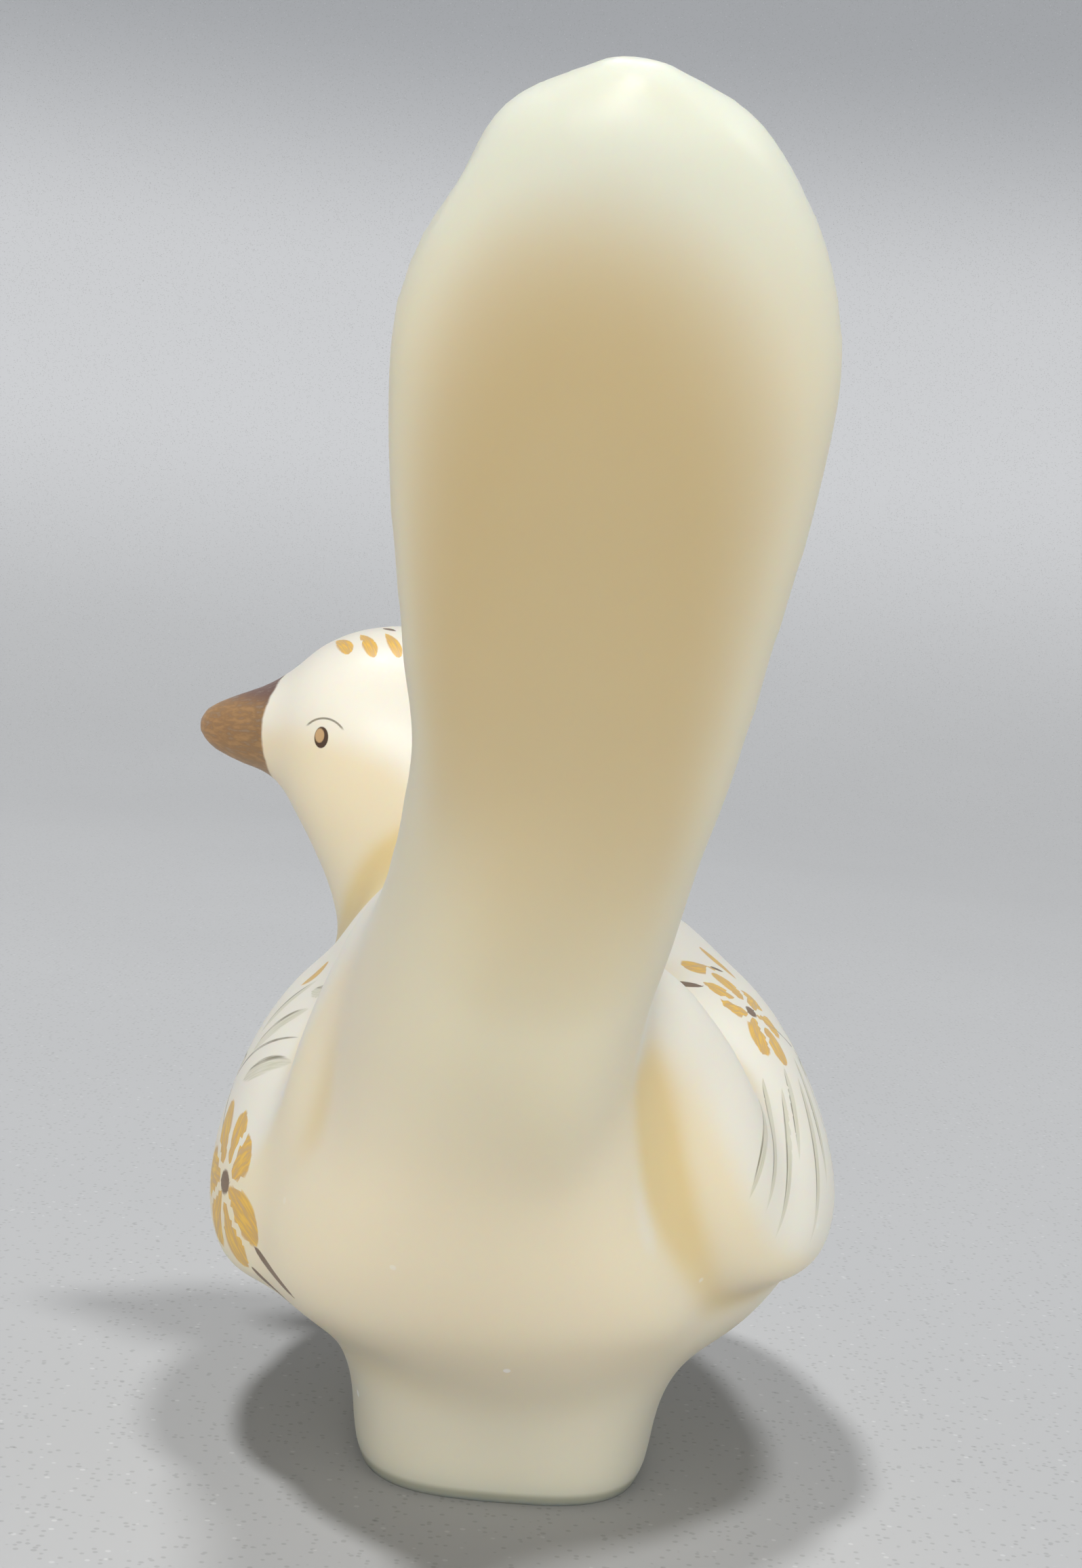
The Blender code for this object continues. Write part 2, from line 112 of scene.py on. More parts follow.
# Feathers at the end of the tail
FEATHER_LINES = ((12.6 * MM, 1.0), (-1.4 * MM, 0.12), (-10.8 * MM, 0.08))  # across the tail; share of depth
FEATHER_DEPTH = 1.0 * MM
FEATHER_GROOVE = 2.2 * MM
FEATHER_LENGTH = 62.0 * MM
FEATHER_EDGE = (-0.7, -0.1)  # how far up the skin faces where the grooves start and are at full depth

# Mesh
RING_POINTS = 72
RINGS_PER_ROW = 8
SKIN_VOXEL = 0.7 * MM
ROUNDING = 111  # steps of smoothing at the joins
POLISH = 5  # and over the whole skin
BODY_BLEND = 7.0 * MM  # how far from a join the skin is rounded
WING_BLEND = 7.0 * MM  # the same at the lower and rear edges of the wings
WING_TOP_BLEND = 9.0 * MM  # and at their upper edges, which melt into the back
WING_TOP_Z = 50.0 * MM
LEFT_SOFTNESS = 0.8  # how far the joins on the bird's left side go towards the softer rounding
JOIN_FADE = 4.0 * MM  # half the width of the zone in which one kind of join turns into the other
SHARP_EDGE = math.radians(60.0)  # a sharper edge, such as the foot's rim, isn't shaded smooth

# Light in the glass
DEEPEST = 60.0 * MM  # where a ray through the glass is cut off
RAY_START = 0.05 * MM  # how far under the skin it starts
RAY_LEANS = ((0, 0, 0), (0.5, 0, 0), (-0.5, 0, 0), (0, 0.5, 0), (0, -0.5, 0))
LIGHT_FROM = (-0.2, -0.1, 0.95)
HOLLOW_ROUNDS = 24  # steps of averaging that fill the skin's hollows
HOLLOW_FULL = 0.2 * MM  # how far the averaged skin lies outside the true one in a tight hollow
BEHIND_SPREAD = 12  # steps over which a stored value is spread along the skin
SPREAD = 30  # the same for the other two

# Charts on which the wings are painted, each unrolled from an egg with this middle and these half axes
CHART_OUT = 14.0 * MM
CHART_Y = -7.0 * MM
CHART_Z = 38.5 * MM
CHART_AXES = (20.0 * MM, 34.0 * MM, 21.0 * MM)
CHART_INNER = 3.0 * MM  # how far from the bird's middle the chart starts
CHART_SHELL = (0.55, 1.6)  # and between which shares of the egg's radius it lies
CROWN_DOWN = 0.45  # how far down the crown's chart reaches, as a share of the head's rise
CROWN_BACK = 14.0 * MM  # and how far back from the neck

# Brush strokes, in millimetres on the chart
BRUSH_POINTS = 13
BRUSH_REACH = 16.0 * MM  # how far from its middle a stroke is looked for
FAR = 1.0  # further than any stroke
FAR_ACROSS = 9.0  # stored where no stroke is near
SWAY_STEP = 2.3  # radians from one stroke's unevenness to the next
REACH_STEP = 1.7  # the same for a petal's length
PETAL_START = 0.9  # from the blossom's middle
PETAL_BEND = 0.06
PETAL_SWAY = 7.0  # degrees
PETAL_UNEVEN = 0.12  # share of a petal's length
LEAF_TURNS = (-38, 34)  # degrees from the pair's direction to each leaf
LEAF_BEND = 0.16
BLADES = 6
BLADE_BACK = 15.0  # where the first one starts
BLADE_APART = 4.2
BLADE_TOP = 8.5
BLADE_STAGGER = 2.0  # how much lower every other blade starts
BLADE_FALL = 14.0
BLADE_UNEVEN = 0.25  # share of the fall
BLADE_LEAN = 4.5
BLADE_HALF_WIDTH = 0.95
BLADE_BEND = 0.1

# How the width of each kind of stroke rises and falls along it, and the softness of its edge
STROKE_SHAPES = {
    "petals": (0.75, 0.4, 0.22),
    "leaves": (0.5, 0.8, 0.3),
    "lines": (0.2, 0.4, 0.5),
    "dabs": (0.35, 0.35, 0.3),
}
STREAK_STRETCH = (1.4, 3.2)  # along and across
STREAK_SCALE = 1.6
STREAK_DETAIL = 3.0
RAGGED = 0.35  # how far streaks eat into its edge
GUARD_LEVEL = 0.02  # paint lies only where the guard is higher

# Streaky values, from 0 to 1, between which the paint thickens, and its cover at each end
PATCHES = 260.0  # scale of the patches, per metre
PATCH_SHARE = 0.3
LEAF_COVER = (0.35, 0.95, 0.15, 0.6)
LEAF_RIM = (0.25, 0.6)  # across it
LEAF_RIM_COVER = (0.3, 0.8, 0.1, 0.8)
LINE_COVER = (0.3, 0.7, 0.45, 0.85)
GOLD_STREAKS = (0.35, 0.65)
GOLD_COVER = (0.3, 0.6, 0.7, 0.96)
DAB_COVER = 0.9

# Paint on the head, in millimetres along the turned head: ahead and up
BEAK_PAINT = (34.9, 73.9, 5.3)  # the foremost place of its hollow edge, its level and half its height
BEAK_HOLLOW = (0.9, 1.5)  # how far the edge falls back half its height from its level, and at most
BEAK_WOBBLE = (500.0, 0.5)  # scale per metre, and millimetres
BEAK_EDGE = (0.1, 0.5)  # where the paint starts and is full
BEAK_STRETCH = (0.25, 1.3)  # of the streaks, ahead and up
BEAK_SCALE = 1.5
BEAK_STREAKS = (0.3, 0.7)
BEAK_COVER = (0.2, 0.5, 0.8, 0.97)
BEAK_RIDGE = (76.0, 78.5)  # levels where the ridge's colour fades in
EYE = (26.8, 74.0, 0.86, 1.25)  # middle, half width and half height
EYE_EDGE = (1.06, 0.94)  # shares of its half sizes between which it fades in
EYE_MIDDLE = (27.02, 74.2, 0.5676, 0.825)  # the lighter middle: the eye's own tan fill and a painted glint, set towards the front and up
EYE_MIDDLE_EDGE = (1.15, 0.85)
BROW_MIDDLE = (26.5, 73.4)
BROW_REACH = 2.85  # radius of the brow's arc
BROW_EDGE = (0.17, 0.06)
BROW_LOW = (75.0, 75.5)  # levels where it fades in
BROW_COVER = 0.75
OFF_HEAD = (-99, 0, 0)  # stored away from the head

# Colours of the glass, linear
LIT_IVORY = (0.86, 0.82, 0.71, 1)  # painted light: paler where little glass lies between a point and the light from above
CREAM = (0.86, 0.76, 0.54, 1)
ROSY = (0.87, 0.77, 0.58, 1)
TAN = (0.65, 0.51, 0.27, 1)  # shaded thin glass, as under the tail
CREASE_GLOW_AMBER = (0.80, 0.62, 0.26, 1)  # painted glow of light scattered through the glass, laid in hollows and creases
FOOT_SHADE_GREY = (0.66, 0.62, 0.49, 1)  # painted shade under the body, greyer and darker down the foot
TAIL_GLASS = (0.76, 0.71, 0.52, 1)
TIP = (0.74, 0.76, 0.65, 1)
CONTACT_SHADOW = (0.26, 0.25, 0.16, 1)  # painted contact shadow where the foot meets the floor
DUST = (0.95, 0.95, 0.93, 1)

# Where each colour of the glass starts and is full, by the glass above or behind a point or its place
CREAM_CLOUDS = 28.0  # per metre, of cream and rosy glass
CREAM_ABOVE = (0.5 * MM, 8 * MM)
TAIL_ALONG = (34 * MM, 62 * MM)
TAIL_SHARE = 0.75
TIP_LEVEL = (106 * MM, 124 * MM)
TAN_ABOVE = (6 * MM, 16 * MM)
TAN_BEHIND = (25 * MM, 12 * MM)
AMBER_HOLLOW = (0.05, 0.5)
AMBER_SHARE = 0.7
FOOT_SHADE_LEVEL = (24 * MM, 5 * MM)
FOOT_SHADE_SHARE = 0.9
CONTACT_SHADOW_LEVEL = (1.5 * MM, 0.7 * MM)
CONTACT_SHADOW_SHARE = 0.6
DUST_LEVEL = (40 * MM, 14 * MM)
DUST_SHARE = 0.7
DUST_SPECKS = (260.0, 0.12, 0.2)  # cells per metre, radius in cells, share of cells with a speck
SPECK_FULL = 0.6  # share of a speck's radius within which it is full
SATIN_ROUGHNESS = 0.4
SCATTER_COLOURS = (1.0, 0.72, 0.45)
SCATTER_REACH = 7 * MM

# Colours of the paint, linear
GOLD = (0.84, 0.53, 0.08, 1)
GOLD_DARK = (0.56, 0.30, 0.06, 1)
LEAF = (0.48, 0.47, 0.29, 1)
LINE = (0.16, 0.13, 0.07, 1)
BROWN = (0.20, 0.10, 0.04, 1)
BROWN_DARK = (0.09, 0.045, 0.02, 1)
BEAK = (0.40, 0.23, 0.09, 1)
BEAK_DARK = (0.24, 0.13, 0.05, 1)
BEAK_TOP = (0.16, 0.08, 0.06, 1)
EYE_FILL_AND_GLINT = (0.60, 0.40, 0.20, 1)

# Camera, behind the bird and held a little off level
CAMERA = Vector((4.2, 266.0, 90.7)) * MM
CAMERA_DOWN = math.radians(4.0)
CAMERA_ASIDE = math.radians(0.53)
CAMERA_ROLL = math.radians(5.0)
CAMERA_LENS = 56.03  # millimetres
CAMERA_SENSOR = 36.0  # the same, for the long side
CAMERA_CLIP = (0.01, 20)

# Studio floor, whose rim bends up into a wall
FLOOR_FLAT = 0.75  # radius of the flat part
FLOOR_CURVE = 0.5  # radius of the bend
WALL_TOP = 1.6
FLOOR_BENDS = 12
FLOOR_TURNS = 96
FLOOR_DARKER = (0.45, 0.455, 0.46, 1)
FLOOR_LIGHTER = (0.48, 0.485, 0.49, 1)
FLOOR_CLOUDS = 9.0  # per metre, of these two
# Painted light on the backdrop: lighter low on the wall, darker towards its top
LIT_WALL_LOW = (0.62, 0.625, 0.635, 1)
LIT_WALL_LOW_LEVEL = (0.02, 0.2)  # where this colour starts and is full
SHADED_WALL_TOP = (0.40, 0.41, 0.425, 1)
SHADED_WALL_TOP_LEVEL = (0.28, 0.46)
DARK_SPECKS = ((1100.0, 0.36, 0.4), (420.0, 0.16, 0.25))  # small and large, given as for the dust
DARK_SPECK = (0.26, 0.26, 0.26, 1)
DARK_SHARE = 0.4
LIGHT_SPECKS = (640.0, 0.22, 0.2)
LIGHT_SPECK = (0.85, 0.85, 0.85, 1)
LIGHT_SHARE = 0.22
FLOOR_ROUGHNESS = 0.75

# Lamps: place, diameter and watts. The two at the ceiling are brighter for the floor
LIGHT_AIM = (0, 0.02, 0.06)
CEILING_LEFT = ((0.42, 0.02, 2.1), 0.25)
CEILING_RIGHT = ((-0.36, 0.05, 2.2), 0.35)
BIRD_WATTS = (12.0, 9.6)  # left and right
FLOOR_WATTS = (23.0, 19.0)
SIDE = ((-0.8, 0.45, 0.45), 0.3, 1.5)
SIDE_TINT = (0.9, 0.96, 1.0)
FILL = ((0.1, 1.0, 0.36), 0.3, 5.0)
WORLD_TINT = (0.95, 0.97, 1.0, 1)
WORLD_STRENGTH = 0.02


def smoothstep(low, high, value):
    t = np.clip((value - low) / (high - low), 0, 1)
    return t * t * (3 - 2 * t)


def smooth_rows(rows):
    """Rows of numbers read as one smooth curve, with RINGS_PER_ROW steps between two rows."""
    keys = np.array(rows, float)
    padded = np.vstack([2 * keys[0] - keys[1], keys, 2 * keys[-1] - keys[-2]])
    found = []
    for i in range(len(keys) - 1):
        a, b, c, d = padded[i : i + 4]
        for t in np.arange(RINGS_PER_ROW) / RINGS_PER_ROW:
            bend = (2 * a - 5 * b + 4 * c - d) * t**2 + (3 * b - a - 3 * c + d) * t**3
            found.append(b + 0.5 * ((c - a) * t + bend))
    found.append(keys[-1])
    return np.array(found)


def rounded(angle, power):
    """Cosine and sine of a superellipse: power 2 is a round, and more is squarer."""
    c, s = math.cos(angle), math.sin(angle)
    across = math.copysign(abs(c) ** (2 / power), c)
    return across, math.copysign(abs(s) ** (2 / power), s)


def ring(top, bottom, side, half_width, widest=0.5, upper_power=2.0, lower_power=2.0):
    """One closed section through top and bottom, half_width wide at a share `widest` of the way up."""
    middle = bottom.lerp(top, widest)
    points = []
    for i in range(RING_POINTS):
        angle = 2 * math.pi * i / RING_POINTS
        power = upper_power if math.cos(angle) > 0 else lower_power
        up, across = rounded(angle, power)
        reach = (top - middle) * up if up > 0 else (middle - bottom) * up
        points.append(middle + reach + side * (half_width * across))
    return points


def lofted(rings):
    """A closed shell through the rings in order."""
    bm = bmesh.new()
    loops = [[bm.verts.new(p) for p in points] for points in rings]
    for near, far in zip(loops, loops[1:]):
        for i in range(len(near)):
            j = (i + 1) % len(near)
            bm.faces.new((near[i], near[j], far[j], far[i]))
    bm.faces.new(list(reversed(loops[0])))
    bm.faces.new(loops[-1])
    bmesh.ops.recalc_face_normals(bm, faces=bm.faces)
    return bm


def tail_line(share):
    """The point and the direction of the tail's middle line, a share of the way from its root to its tip."""
    steps = 60
    point = Vector((0, TAIL_ROOT_Y, TAIL_ROOT_Z))
    angle = TAIL_ANGLE
    for i in range(int(round(share * steps))):
        angle = TAIL_ANGLE + TAIL_CURL * (i + 0.5) / steps
        point = point + Vector((0, math.cos(angle), math.sin(angle))) * (TAIL_LENGTH / steps)
    return point, Vector((0, math.cos(angle), math.sin(angle)))


def body_rows():
    """Back, belly, half width, widest level and powers of the body's sections, from the breast on."""
    shares = [
        (0.000, 0.530, 0.000, 0.490, 0.03, 0.50, 2.0, 2.0),
        (0.022, 0.720, 0.022, 0.310, 0.36, 0.46, 2.0, 2.0),
        (0.075, 0.870, 0.085, 0.160, 0.62, 0.43, 2.0, 1.9),
        (0.180, 0.975, 0.200, 0.040, 0.85, 0.39, 2.0, 1.9),
        (0.340, 1.010, 0.370, 0.000, 0.98, 0.36, 2.0, 2.2),
        (0.530, 1.000, 0.550, 0.000, 0.99, 0.36, 2.0, 2.2),
        (0.680, 0.990, 0.720, 0.025, 0.78, 0.32, 1.8, 2.1),
        (0.790, 1.000, 0.850, 0.095, 0.48, 0.36, 2.0, 2.1),
        (0.845, 1.020, 0.925, 0.240, 0.33, 0.42, 2.2, 2.1),
        (0.880, 1.040, 0.985, 0.440, 0.30, 0.45, 2.2, 2.0),
    ]
    length, rise = BODY_LENGTH, BODY_RISE
    rows = []
    for back_y, back_z, belly_y, belly_z, width, widest, upper, lower in shares:
        back = (BREAST_Y + back_y * length, BELLY_Z + back_z * rise)
        belly = (BREAST_Y + belly_y * length, BELLY_Z + belly_z * rise)
        rows.append((*back, *belly, width * BODY_WIDTH / 2, widest, upper, lower))
    return rows


def tail_rows():
    """The same for the tail: how far along, half width, half thickness and power."""
    shares = [
        (0.165, 0.600, 1.92, 2.0),
        (0.270, 0.680, 1.60, 2.0),
        (0.360, 0.760, 1.34, 2.0),
        (0.455, 0.842, 1.18, 2.1),
        (0.560, 0.905, 1.07, 2.1),
        (0.660, 0.970, 1.01, 2.1),
        (0.750, 1.000, 0.98, 2.1),
        (0.820, 0.985, 0.93, 2.1),
        (0.880, 0.870, 0.84, 2.1),
        (0.930, 0.695, 0.70, 2.1),
        (0.967, 0.505, 0.55, 2.0),
        (0.990, 0.310, 0.35, 2.0),
        (1.000, 0.120, 0.14, 2.0),
    ]
    rows = []
    for share, width, thickness, power in shares:
        point, ahead = tail_line(share)
        up = Vector((0, -ahead.z, ahead.y)) * (thickness * TAIL_THICKNESS / 2)
        top, bottom = point + up, point - up
        rows.append((top.y, top.z, bottom.y, bottom.z, width * TAIL_WIDTH / 2, 0.5, power, power))
    return rows


def trunk():
    """Breast, body, rump and tail as one loft."""
    across = Vector((1, 0, 0))
    rings = []
    for top_y, top_z, low_y, low_z, half, widest, upper, lower in smooth_rows(body_rows() + tail_rows()):
        top, low = Vector((0, top_y, top_z)), Vector((0, low_y, low_z))
        rings.append(ring(top, low, across, half, widest, upper, lower))
    return lofted(rings)


def rump():
    """The broad face below the tail, from the tail's root down into the foot, as level sections."""
    # Level, then rearmost, widest and foremost place, as shares of the body's rise and length; then the
    # reach to the bird's left and to its right as shares of half the body's width
    rows = [
        (-0.04, 0.822, 0.59, 0.50, 0.50, 0.50),
        (0.04, 0.836, 0.60, 0.50, 0.535, 0.535),
        (0.11, 0.868, 0.64, 0.50, 0.63, 0.60),
        (0.17, 0.900, 0.68, 0.51, 0.745, 0.61),
        (0.23, 0.930, 0.72, 0.52, 0.81, 0.64),
        (0.34, 0.971, 0.77, 0.54, 0.83, 0.60),
        (0.46, 1.012, 0.82, 0.58, 0.75, 0.49),
        (0.57, 1.055, 0.85, 0.62, 0.66, 0.41),
        (0.69, 1.112, 0.87, 0.66, 0.62, 0.365),
        (0.80, 1.165, 0.90, 0.72, 0.60, 0.330),
        (0.91, 1.212, 0.95, 0.82, 0.565, 0.310),
        (1.03, 1.264, 1.01, 0.92, 0.520, 0.300),
        (1.14, 1.310, 1.11, 1.04, 0.465, 0.310),
        (1.26, 1.360, 1.20, 1.12, 0.435, 0.320),
        (1.38, 1.410, 1.28, 1.20, 0.425, 0.300),
    ]
    rings = []
    for height, rear, widest, front, left, right in smooth_rows(rows):
        middle = (left - right) / 2 * BODY_WIDTH / 2
        level = BELLY_Z + height * BODY_RISE
        hind = Vector((middle, BREAST_Y + rear * BODY_LENGTH, level))
        fore = Vector((middle, BREAST_Y + front * BODY_LENGTH, level))
        share = (widest - front) / (rear - front)
        rings.append(ring(hind, fore, Vector((1, 0, 0)), (left + right) / 2 * BODY_WIDTH / 2, share))
    return lofted(rings)


def head():
    """Beak, head and neck as one loft, in the upright plane that the head is turned to."""
    ahead = Vector((math.sin(HEAD_TURN), -math.cos(HEAD_TURN), 0))
    side = Vector((ahead.y, -ahead.x, 0))
    # Upper line and lower line, as shares of the beak's reach and, down from the crown, of the head's rise;
    # then the half width as a share of the head's, from the beak's tip to the neck's end inside the body
    rows = [
        (1.000, 0.660, 1.000, 0.745, 0.06),
        (0.975, 0.590, 0.962, 0.835, 0.19),
        (0.905, 0.510, 0.885, 0.910, 0.32),
        (0.815, 0.425, 0.790, 0.975, 0.45),
        (0.740, 0.310, 0.735, 1.080, 0.63),
        (0.660, 0.150, 0.700, 1.200, 0.81),
        (0.545, 0.035, 0.665, 1.320, 0.94),
        (0.390, 0.000, 0.630, 1.460, 1.00),
        (0.225, 0.090, 0.600, 1.590, 1.02),
        (0.090, 0.320, 0.580, 1.720, 1.04),
        (0.000, 0.640, 0.562, 1.860, 1.07),
        (-0.070, 0.980, 0.545, 2.030, 1.13),
        (-0.150, 1.380, 0.520, 2.260, 1.22),
        (-0.230, 1.840, 0.460, 2.560, 1.26),
        (-0.150, 2.250, 0.250, 2.700, 0.80),
    ]
    rings = []
    for upper, upper_drop, lower, lower_drop, width in smooth_rows(rows):
        top = ahead * (upper * BEAK_REACH) + Vector((0, NECK_Y, HEAD_TOP_Z - upper_drop * HEAD_RISE))
        bottom = ahead * (lower * BEAK_REACH) + Vector((0, NECK_Y, HEAD_TOP_Z - lower_drop * HEAD_RISE))
        rings.append(ring(top, bottom, side, width * HEAD_WIDTH / 2))
    return lofted(rings)


def nape():
    """The saddle of the back. It leans with the neck and runs out in the root of the tail."""
    # Share of its length from the neck back, height and half width as shares, and lean to the bird's left
    rows = [
        (0.00, 0.92, 0.40, 1.10),
        (0.08, 0.96, 0.80, 1.08),
        (0.30, 0.97, 1.00, 1.00),
        (0.55, 0.97, 1.00, 0.80),
        (0.78, 0.99, 0.80, 0.60),
        (0.92, 1.01, 0.52, 0.48),
        (1.00, 1.04, 0.30, 0.40),
    ]
    rings = []
    for share, height, width, lean in smooth_rows(rows):
        top = Vector((lean * NAPE_LEAN, NECK_Y + share * NAPE_LENGTH, height * NAPE_TOP_Z))
        low = top - Vector((0, 0, NAPE_DEPTH))
        rings.append(ring(top, low, Vector((1, 0, 0)), width * NAPE_WIDTH / 2, NAPE_WIDEST))
    return lofted(rings)


def foot():
    """The short flared foot. It runs below z = 0, where it is ground off flat."""
    steps = 24
    rings = []
    for i in range(-1, steps + 1):
        share = max(0.0, i / steps)
        z = share * FOOT_HEIGHT if i >= 0 else -FOOT_GROUND_OFF
        undercut = FOOT_EDGE * max(0.0, 1 - max(z, 0.0) / FOOT_EDGE) ** 2
        half_x = FOOT_WIDTH / 2 - undercut + FOOT_FLARE * share**FOOT_FLARE_POWER
        half_y = FOOT_LENGTH / 2 - undercut + FOOT_FLARE_ENDS * share**FOOT_FLARE_POWER
        power = FOOT_SQUARENESS[0] + (FOOT_SQUARENESS[1] - FOOT_SQUARENESS[0]) * share
        points = []
        for k in range(RING_POINTS):
            c, s = rounded(2 * math.pi * k / RING_POINTS, power)
            points.append(Vector((half_x * c, FOOT_Y + half_y * s, z)))
        rings.append(points)
    return lofted(rings)


def wing(hand):
    """One folded wing: hand is 1 for the bird's left and -1 for its right."""
    # Share of its length from the front, distance from the bird's middle, depth and thickness as shares
    rows = [
        (0.00, 0.74, 0.26, 0.30),
        (0.06, 0.80, 0.52, 0.58),
        (0.20, 0.90, 0.80, 0.84),
        (0.45, 1.00, 1.00, 1.00),
        (0.69, 0.99, 0.99, 1.00),
        (0.84, 0.91, 0.92, 0.95),
        (0.93, 0.83, 0.79, 0.84),
        (0.98, 0.78, 0.58, 0.64),
        (1.00, 0.73, 0.30, 0.32),
    ]
    left = hand > 0
    tilt = WING_TILT - (LEFT_WING_UPRIGHT if left else 0)
    height = WING_Z - (LEFT_WING_DROP if left else 0)
    down = Vector((hand * math.sin(tilt), WING_RAKE, -math.cos(tilt)))
    outward = Vector((hand * math.cos(tilt), 0, math.sin(tilt)))
    rings = []
    for share, out, depth, thickness in smooth_rows(rows):
        x = out * WING_OUT + (LEFT_WING_OUT if left else 0)
        middle = Vector((hand * x, WING_FRONT_Y + share * WING_LENGTH, height))
        reach = down * (depth * WING_DEPTH / 2)
        half = thickness * WING_THICKNESS / 2
        rings.append(ring(middle - reach, middle + reach, outward, half, 0.5, 2.0, 2.2))
    return lofted(rings)


def wing_edge(hand):
    """The thick rear edge of one wing, from the root of the tail down to the wing's lower edge."""
    # Shares of half the body's width, of its length from the breast and of its rise from the belly, then of
    # half the wing's thickness
    rows = [
        (0.12, 1.040, 0.960, 0.39),
        (0.27, 0.950, 0.870, 0.58),
        (0.37, 0.880, 0.752, 0.76),
        (0.46, 0.832, 0.629, 0.88),
        (0.55, 0.792, 0.505, 0.90),
        (0.63, 0.745, 0.400, 0.80),
        (0.675, 0.653, 0.343, 0.55),
    ]
    path = []
    for i, (out, along, height, radius) in enumerate(smooth_rows(rows)):
        raised = max(0.0, 1 - i / (LEFT_SHOULDER_ROWS * RINGS_PER_ROW)) if hand > 0 else 0
        x = out * BODY_WIDTH / 2 + raised * LEFT_SHOULDER_OUT
        z = BELLY_Z + height * BODY_RISE + raised * LEFT_SHOULDER_RISE
        path.append((Vector((hand * x, BREAST_Y + along * BODY_LENGTH, z)), radius * WING_THICKNESS / 2))
    rings = []
    for i, (point, radius) in enumerate(path):
        ahead = (path[min(i + 1, len(path) - 1)][0] - path[max(i - 1, 0)][0]).normalized()
        side = ahead.cross(Vector((hand, 0, 0))).normalized()
        outward = side.cross(ahead)
        rings.append(ring(point + outward * radius, point - outward * radius, side, radius))
    return lofted(rings)


def applied(obj):
    """The object with its mesh as its modifiers leave it."""
    graph = bpy.context.evaluated_depsgraph_get()
    graph.update()
    mesh = bpy.data.meshes.new_from_object(obj.evaluated_get(graph))
    obj.modifiers.clear()
    obj.data = mesh
    return obj


def run_together(obj, shells, low_radius, high_radius):
    """One closed skin around the shells, rounded within low_radius of where two of them meet. Above the tops
    of the wings, and in part on the bird's left side, the radius grows to high_radius."""
    whole = bmesh.new()
    for shell in shells:
        shell.to_mesh(obj.data)
        whole.from_mesh(obj.data)
    whole.to_mesh(obj.data)
    remesh = obj.modifiers.new("skin", "REMESH")
    remesh.mode = "VOXEL"
    remesh.voxel_size = SKIN_VOXEL
    applied(obj)
    trees = [BVHTree.FromBMesh(shell) for shell in shells]
    obj.vertex_groups.clear()
    joins = obj.vertex_groups.new(name="joins")
    for vertex in obj.data.vertices:
        distances = sorted(tree.find_nearest(vertex.co)[3] for tree in trees)
        above = smoothstep(-JOIN_FADE, JOIN_FADE, vertex.co.z - WING_TOP_Z)
        left = LEFT_SOFTNESS * smoothstep(-JOIN_FADE, JOIN_FADE, vertex.co.x)
        radius = low_radius + (high_radius - low_radius) * max(above, left)
        weight = max(0.0, 1 - distances[1] / radius) * min(1.0, radius / BODY_BLEND)
        if weight > 0:
            joins.add([vertex.index], weight, "REPLACE")
    blend = obj.modifiers.new("blend", "SMOOTH")
    blend.vertex_group = joins.name
    blend.iterations = ROUNDING
    polish = obj.modifiers.new("polish", "SMOOTH")
    polish.iterations = POLISH
    return applied(obj)


def shell_of(obj):
    bm = bmesh.new()
    bm.from_mesh(obj.data)
    return bm


def whole_wing(hand):
    """A wing run together with its rear edge."""
    helper = bpy.data.objects.new("wing", bpy.data.meshes.new("wing"))
    bpy.context.scene.collection.objects.link(helper)
    run_together(helper, [wing(hand), wing_edge(hand)], BODY_BLEND, BODY_BLEND)
    shell = shell_of(helper)
    bpy.data.objects.remove(helper, do_unlink=True)
    return shell


def coordinates(obj, what="co"):
    values = np.empty(len(obj.data.vertices) * 3)
    obj.data.vertices.foreach_get(what, values)
    return values.reshape(-1, 3)


def tail_places(points, length):
    """How far along the last length of the tail each point lies, and the way in which the tail points."""
    root, tip = tail_line(0)[0], tail_line(1)[0]
    ahead = np.array(tip - root) / (tip - root).length
    return (points - np.array(tip)) @ ahead + length, ahead


def skew_tip(obj):
    """Draws the end of the tail a little to the bird's left."""
    points = coordinates(obj)
    along = tail_places(points, TIP_LENGTH)[0]
    points[:, 0] += TIP_ASIDE * smoothstep(0, TIP_LENGTH, along)
    obj.data.vertices.foreach_set("co", points.ravel())
    obj.data.update()


def feather_grooves(obj):
    """Shallow grooves on the tail's upper face that end as notches in its rounded tip."""
    points, normals = coordinates(obj), coordinates(obj, "normal")
    along, ahead = tail_places(points, FEATHER_LENGTH)
    upper = smoothstep(*FEATHER_EDGE, normals @ np.array((0, -ahead[2], ahead[1])))
    depth = np.zeros(len(points))
    for line, share in FEATHER_LINES:
        groove = np.exp(-(((points[:, 0] - line) / FEATHER_GROOVE) ** 2))
        depth += share * FEATHER_DEPTH * groove * smoothstep(0, FEATHER_LENGTH, along) * upper
    obj.data.vertices.foreach_set("co", (points - normals * depth[:, None]).ravel())
    obj.data.update()


def grind_foot(obj):
    """Cuts the foot off flat at z = 0, as the wheel grinds it."""
    bm = bmesh.new()
    bm.from_mesh(obj.data)
    everything = bm.verts[:] + bm.edges[:] + bm.faces[:]
    down = (0, 0, -1)
    cut = bmesh.ops.bisect_plane(bm, geom=everything, plane_co=(0, 0, 0), plane_no=down, clear_outer=True)
    rim = [item for item in cut["geom_cut"] if isinstance(item, bmesh.types.BMEdge)]
    bmesh.ops.edgeloop_fill(bm, edges=rim)
    bmesh.ops.recalc_face_normals(bm, faces=bm.faces)
    bm.to_mesh(obj.data)
    bm.free()


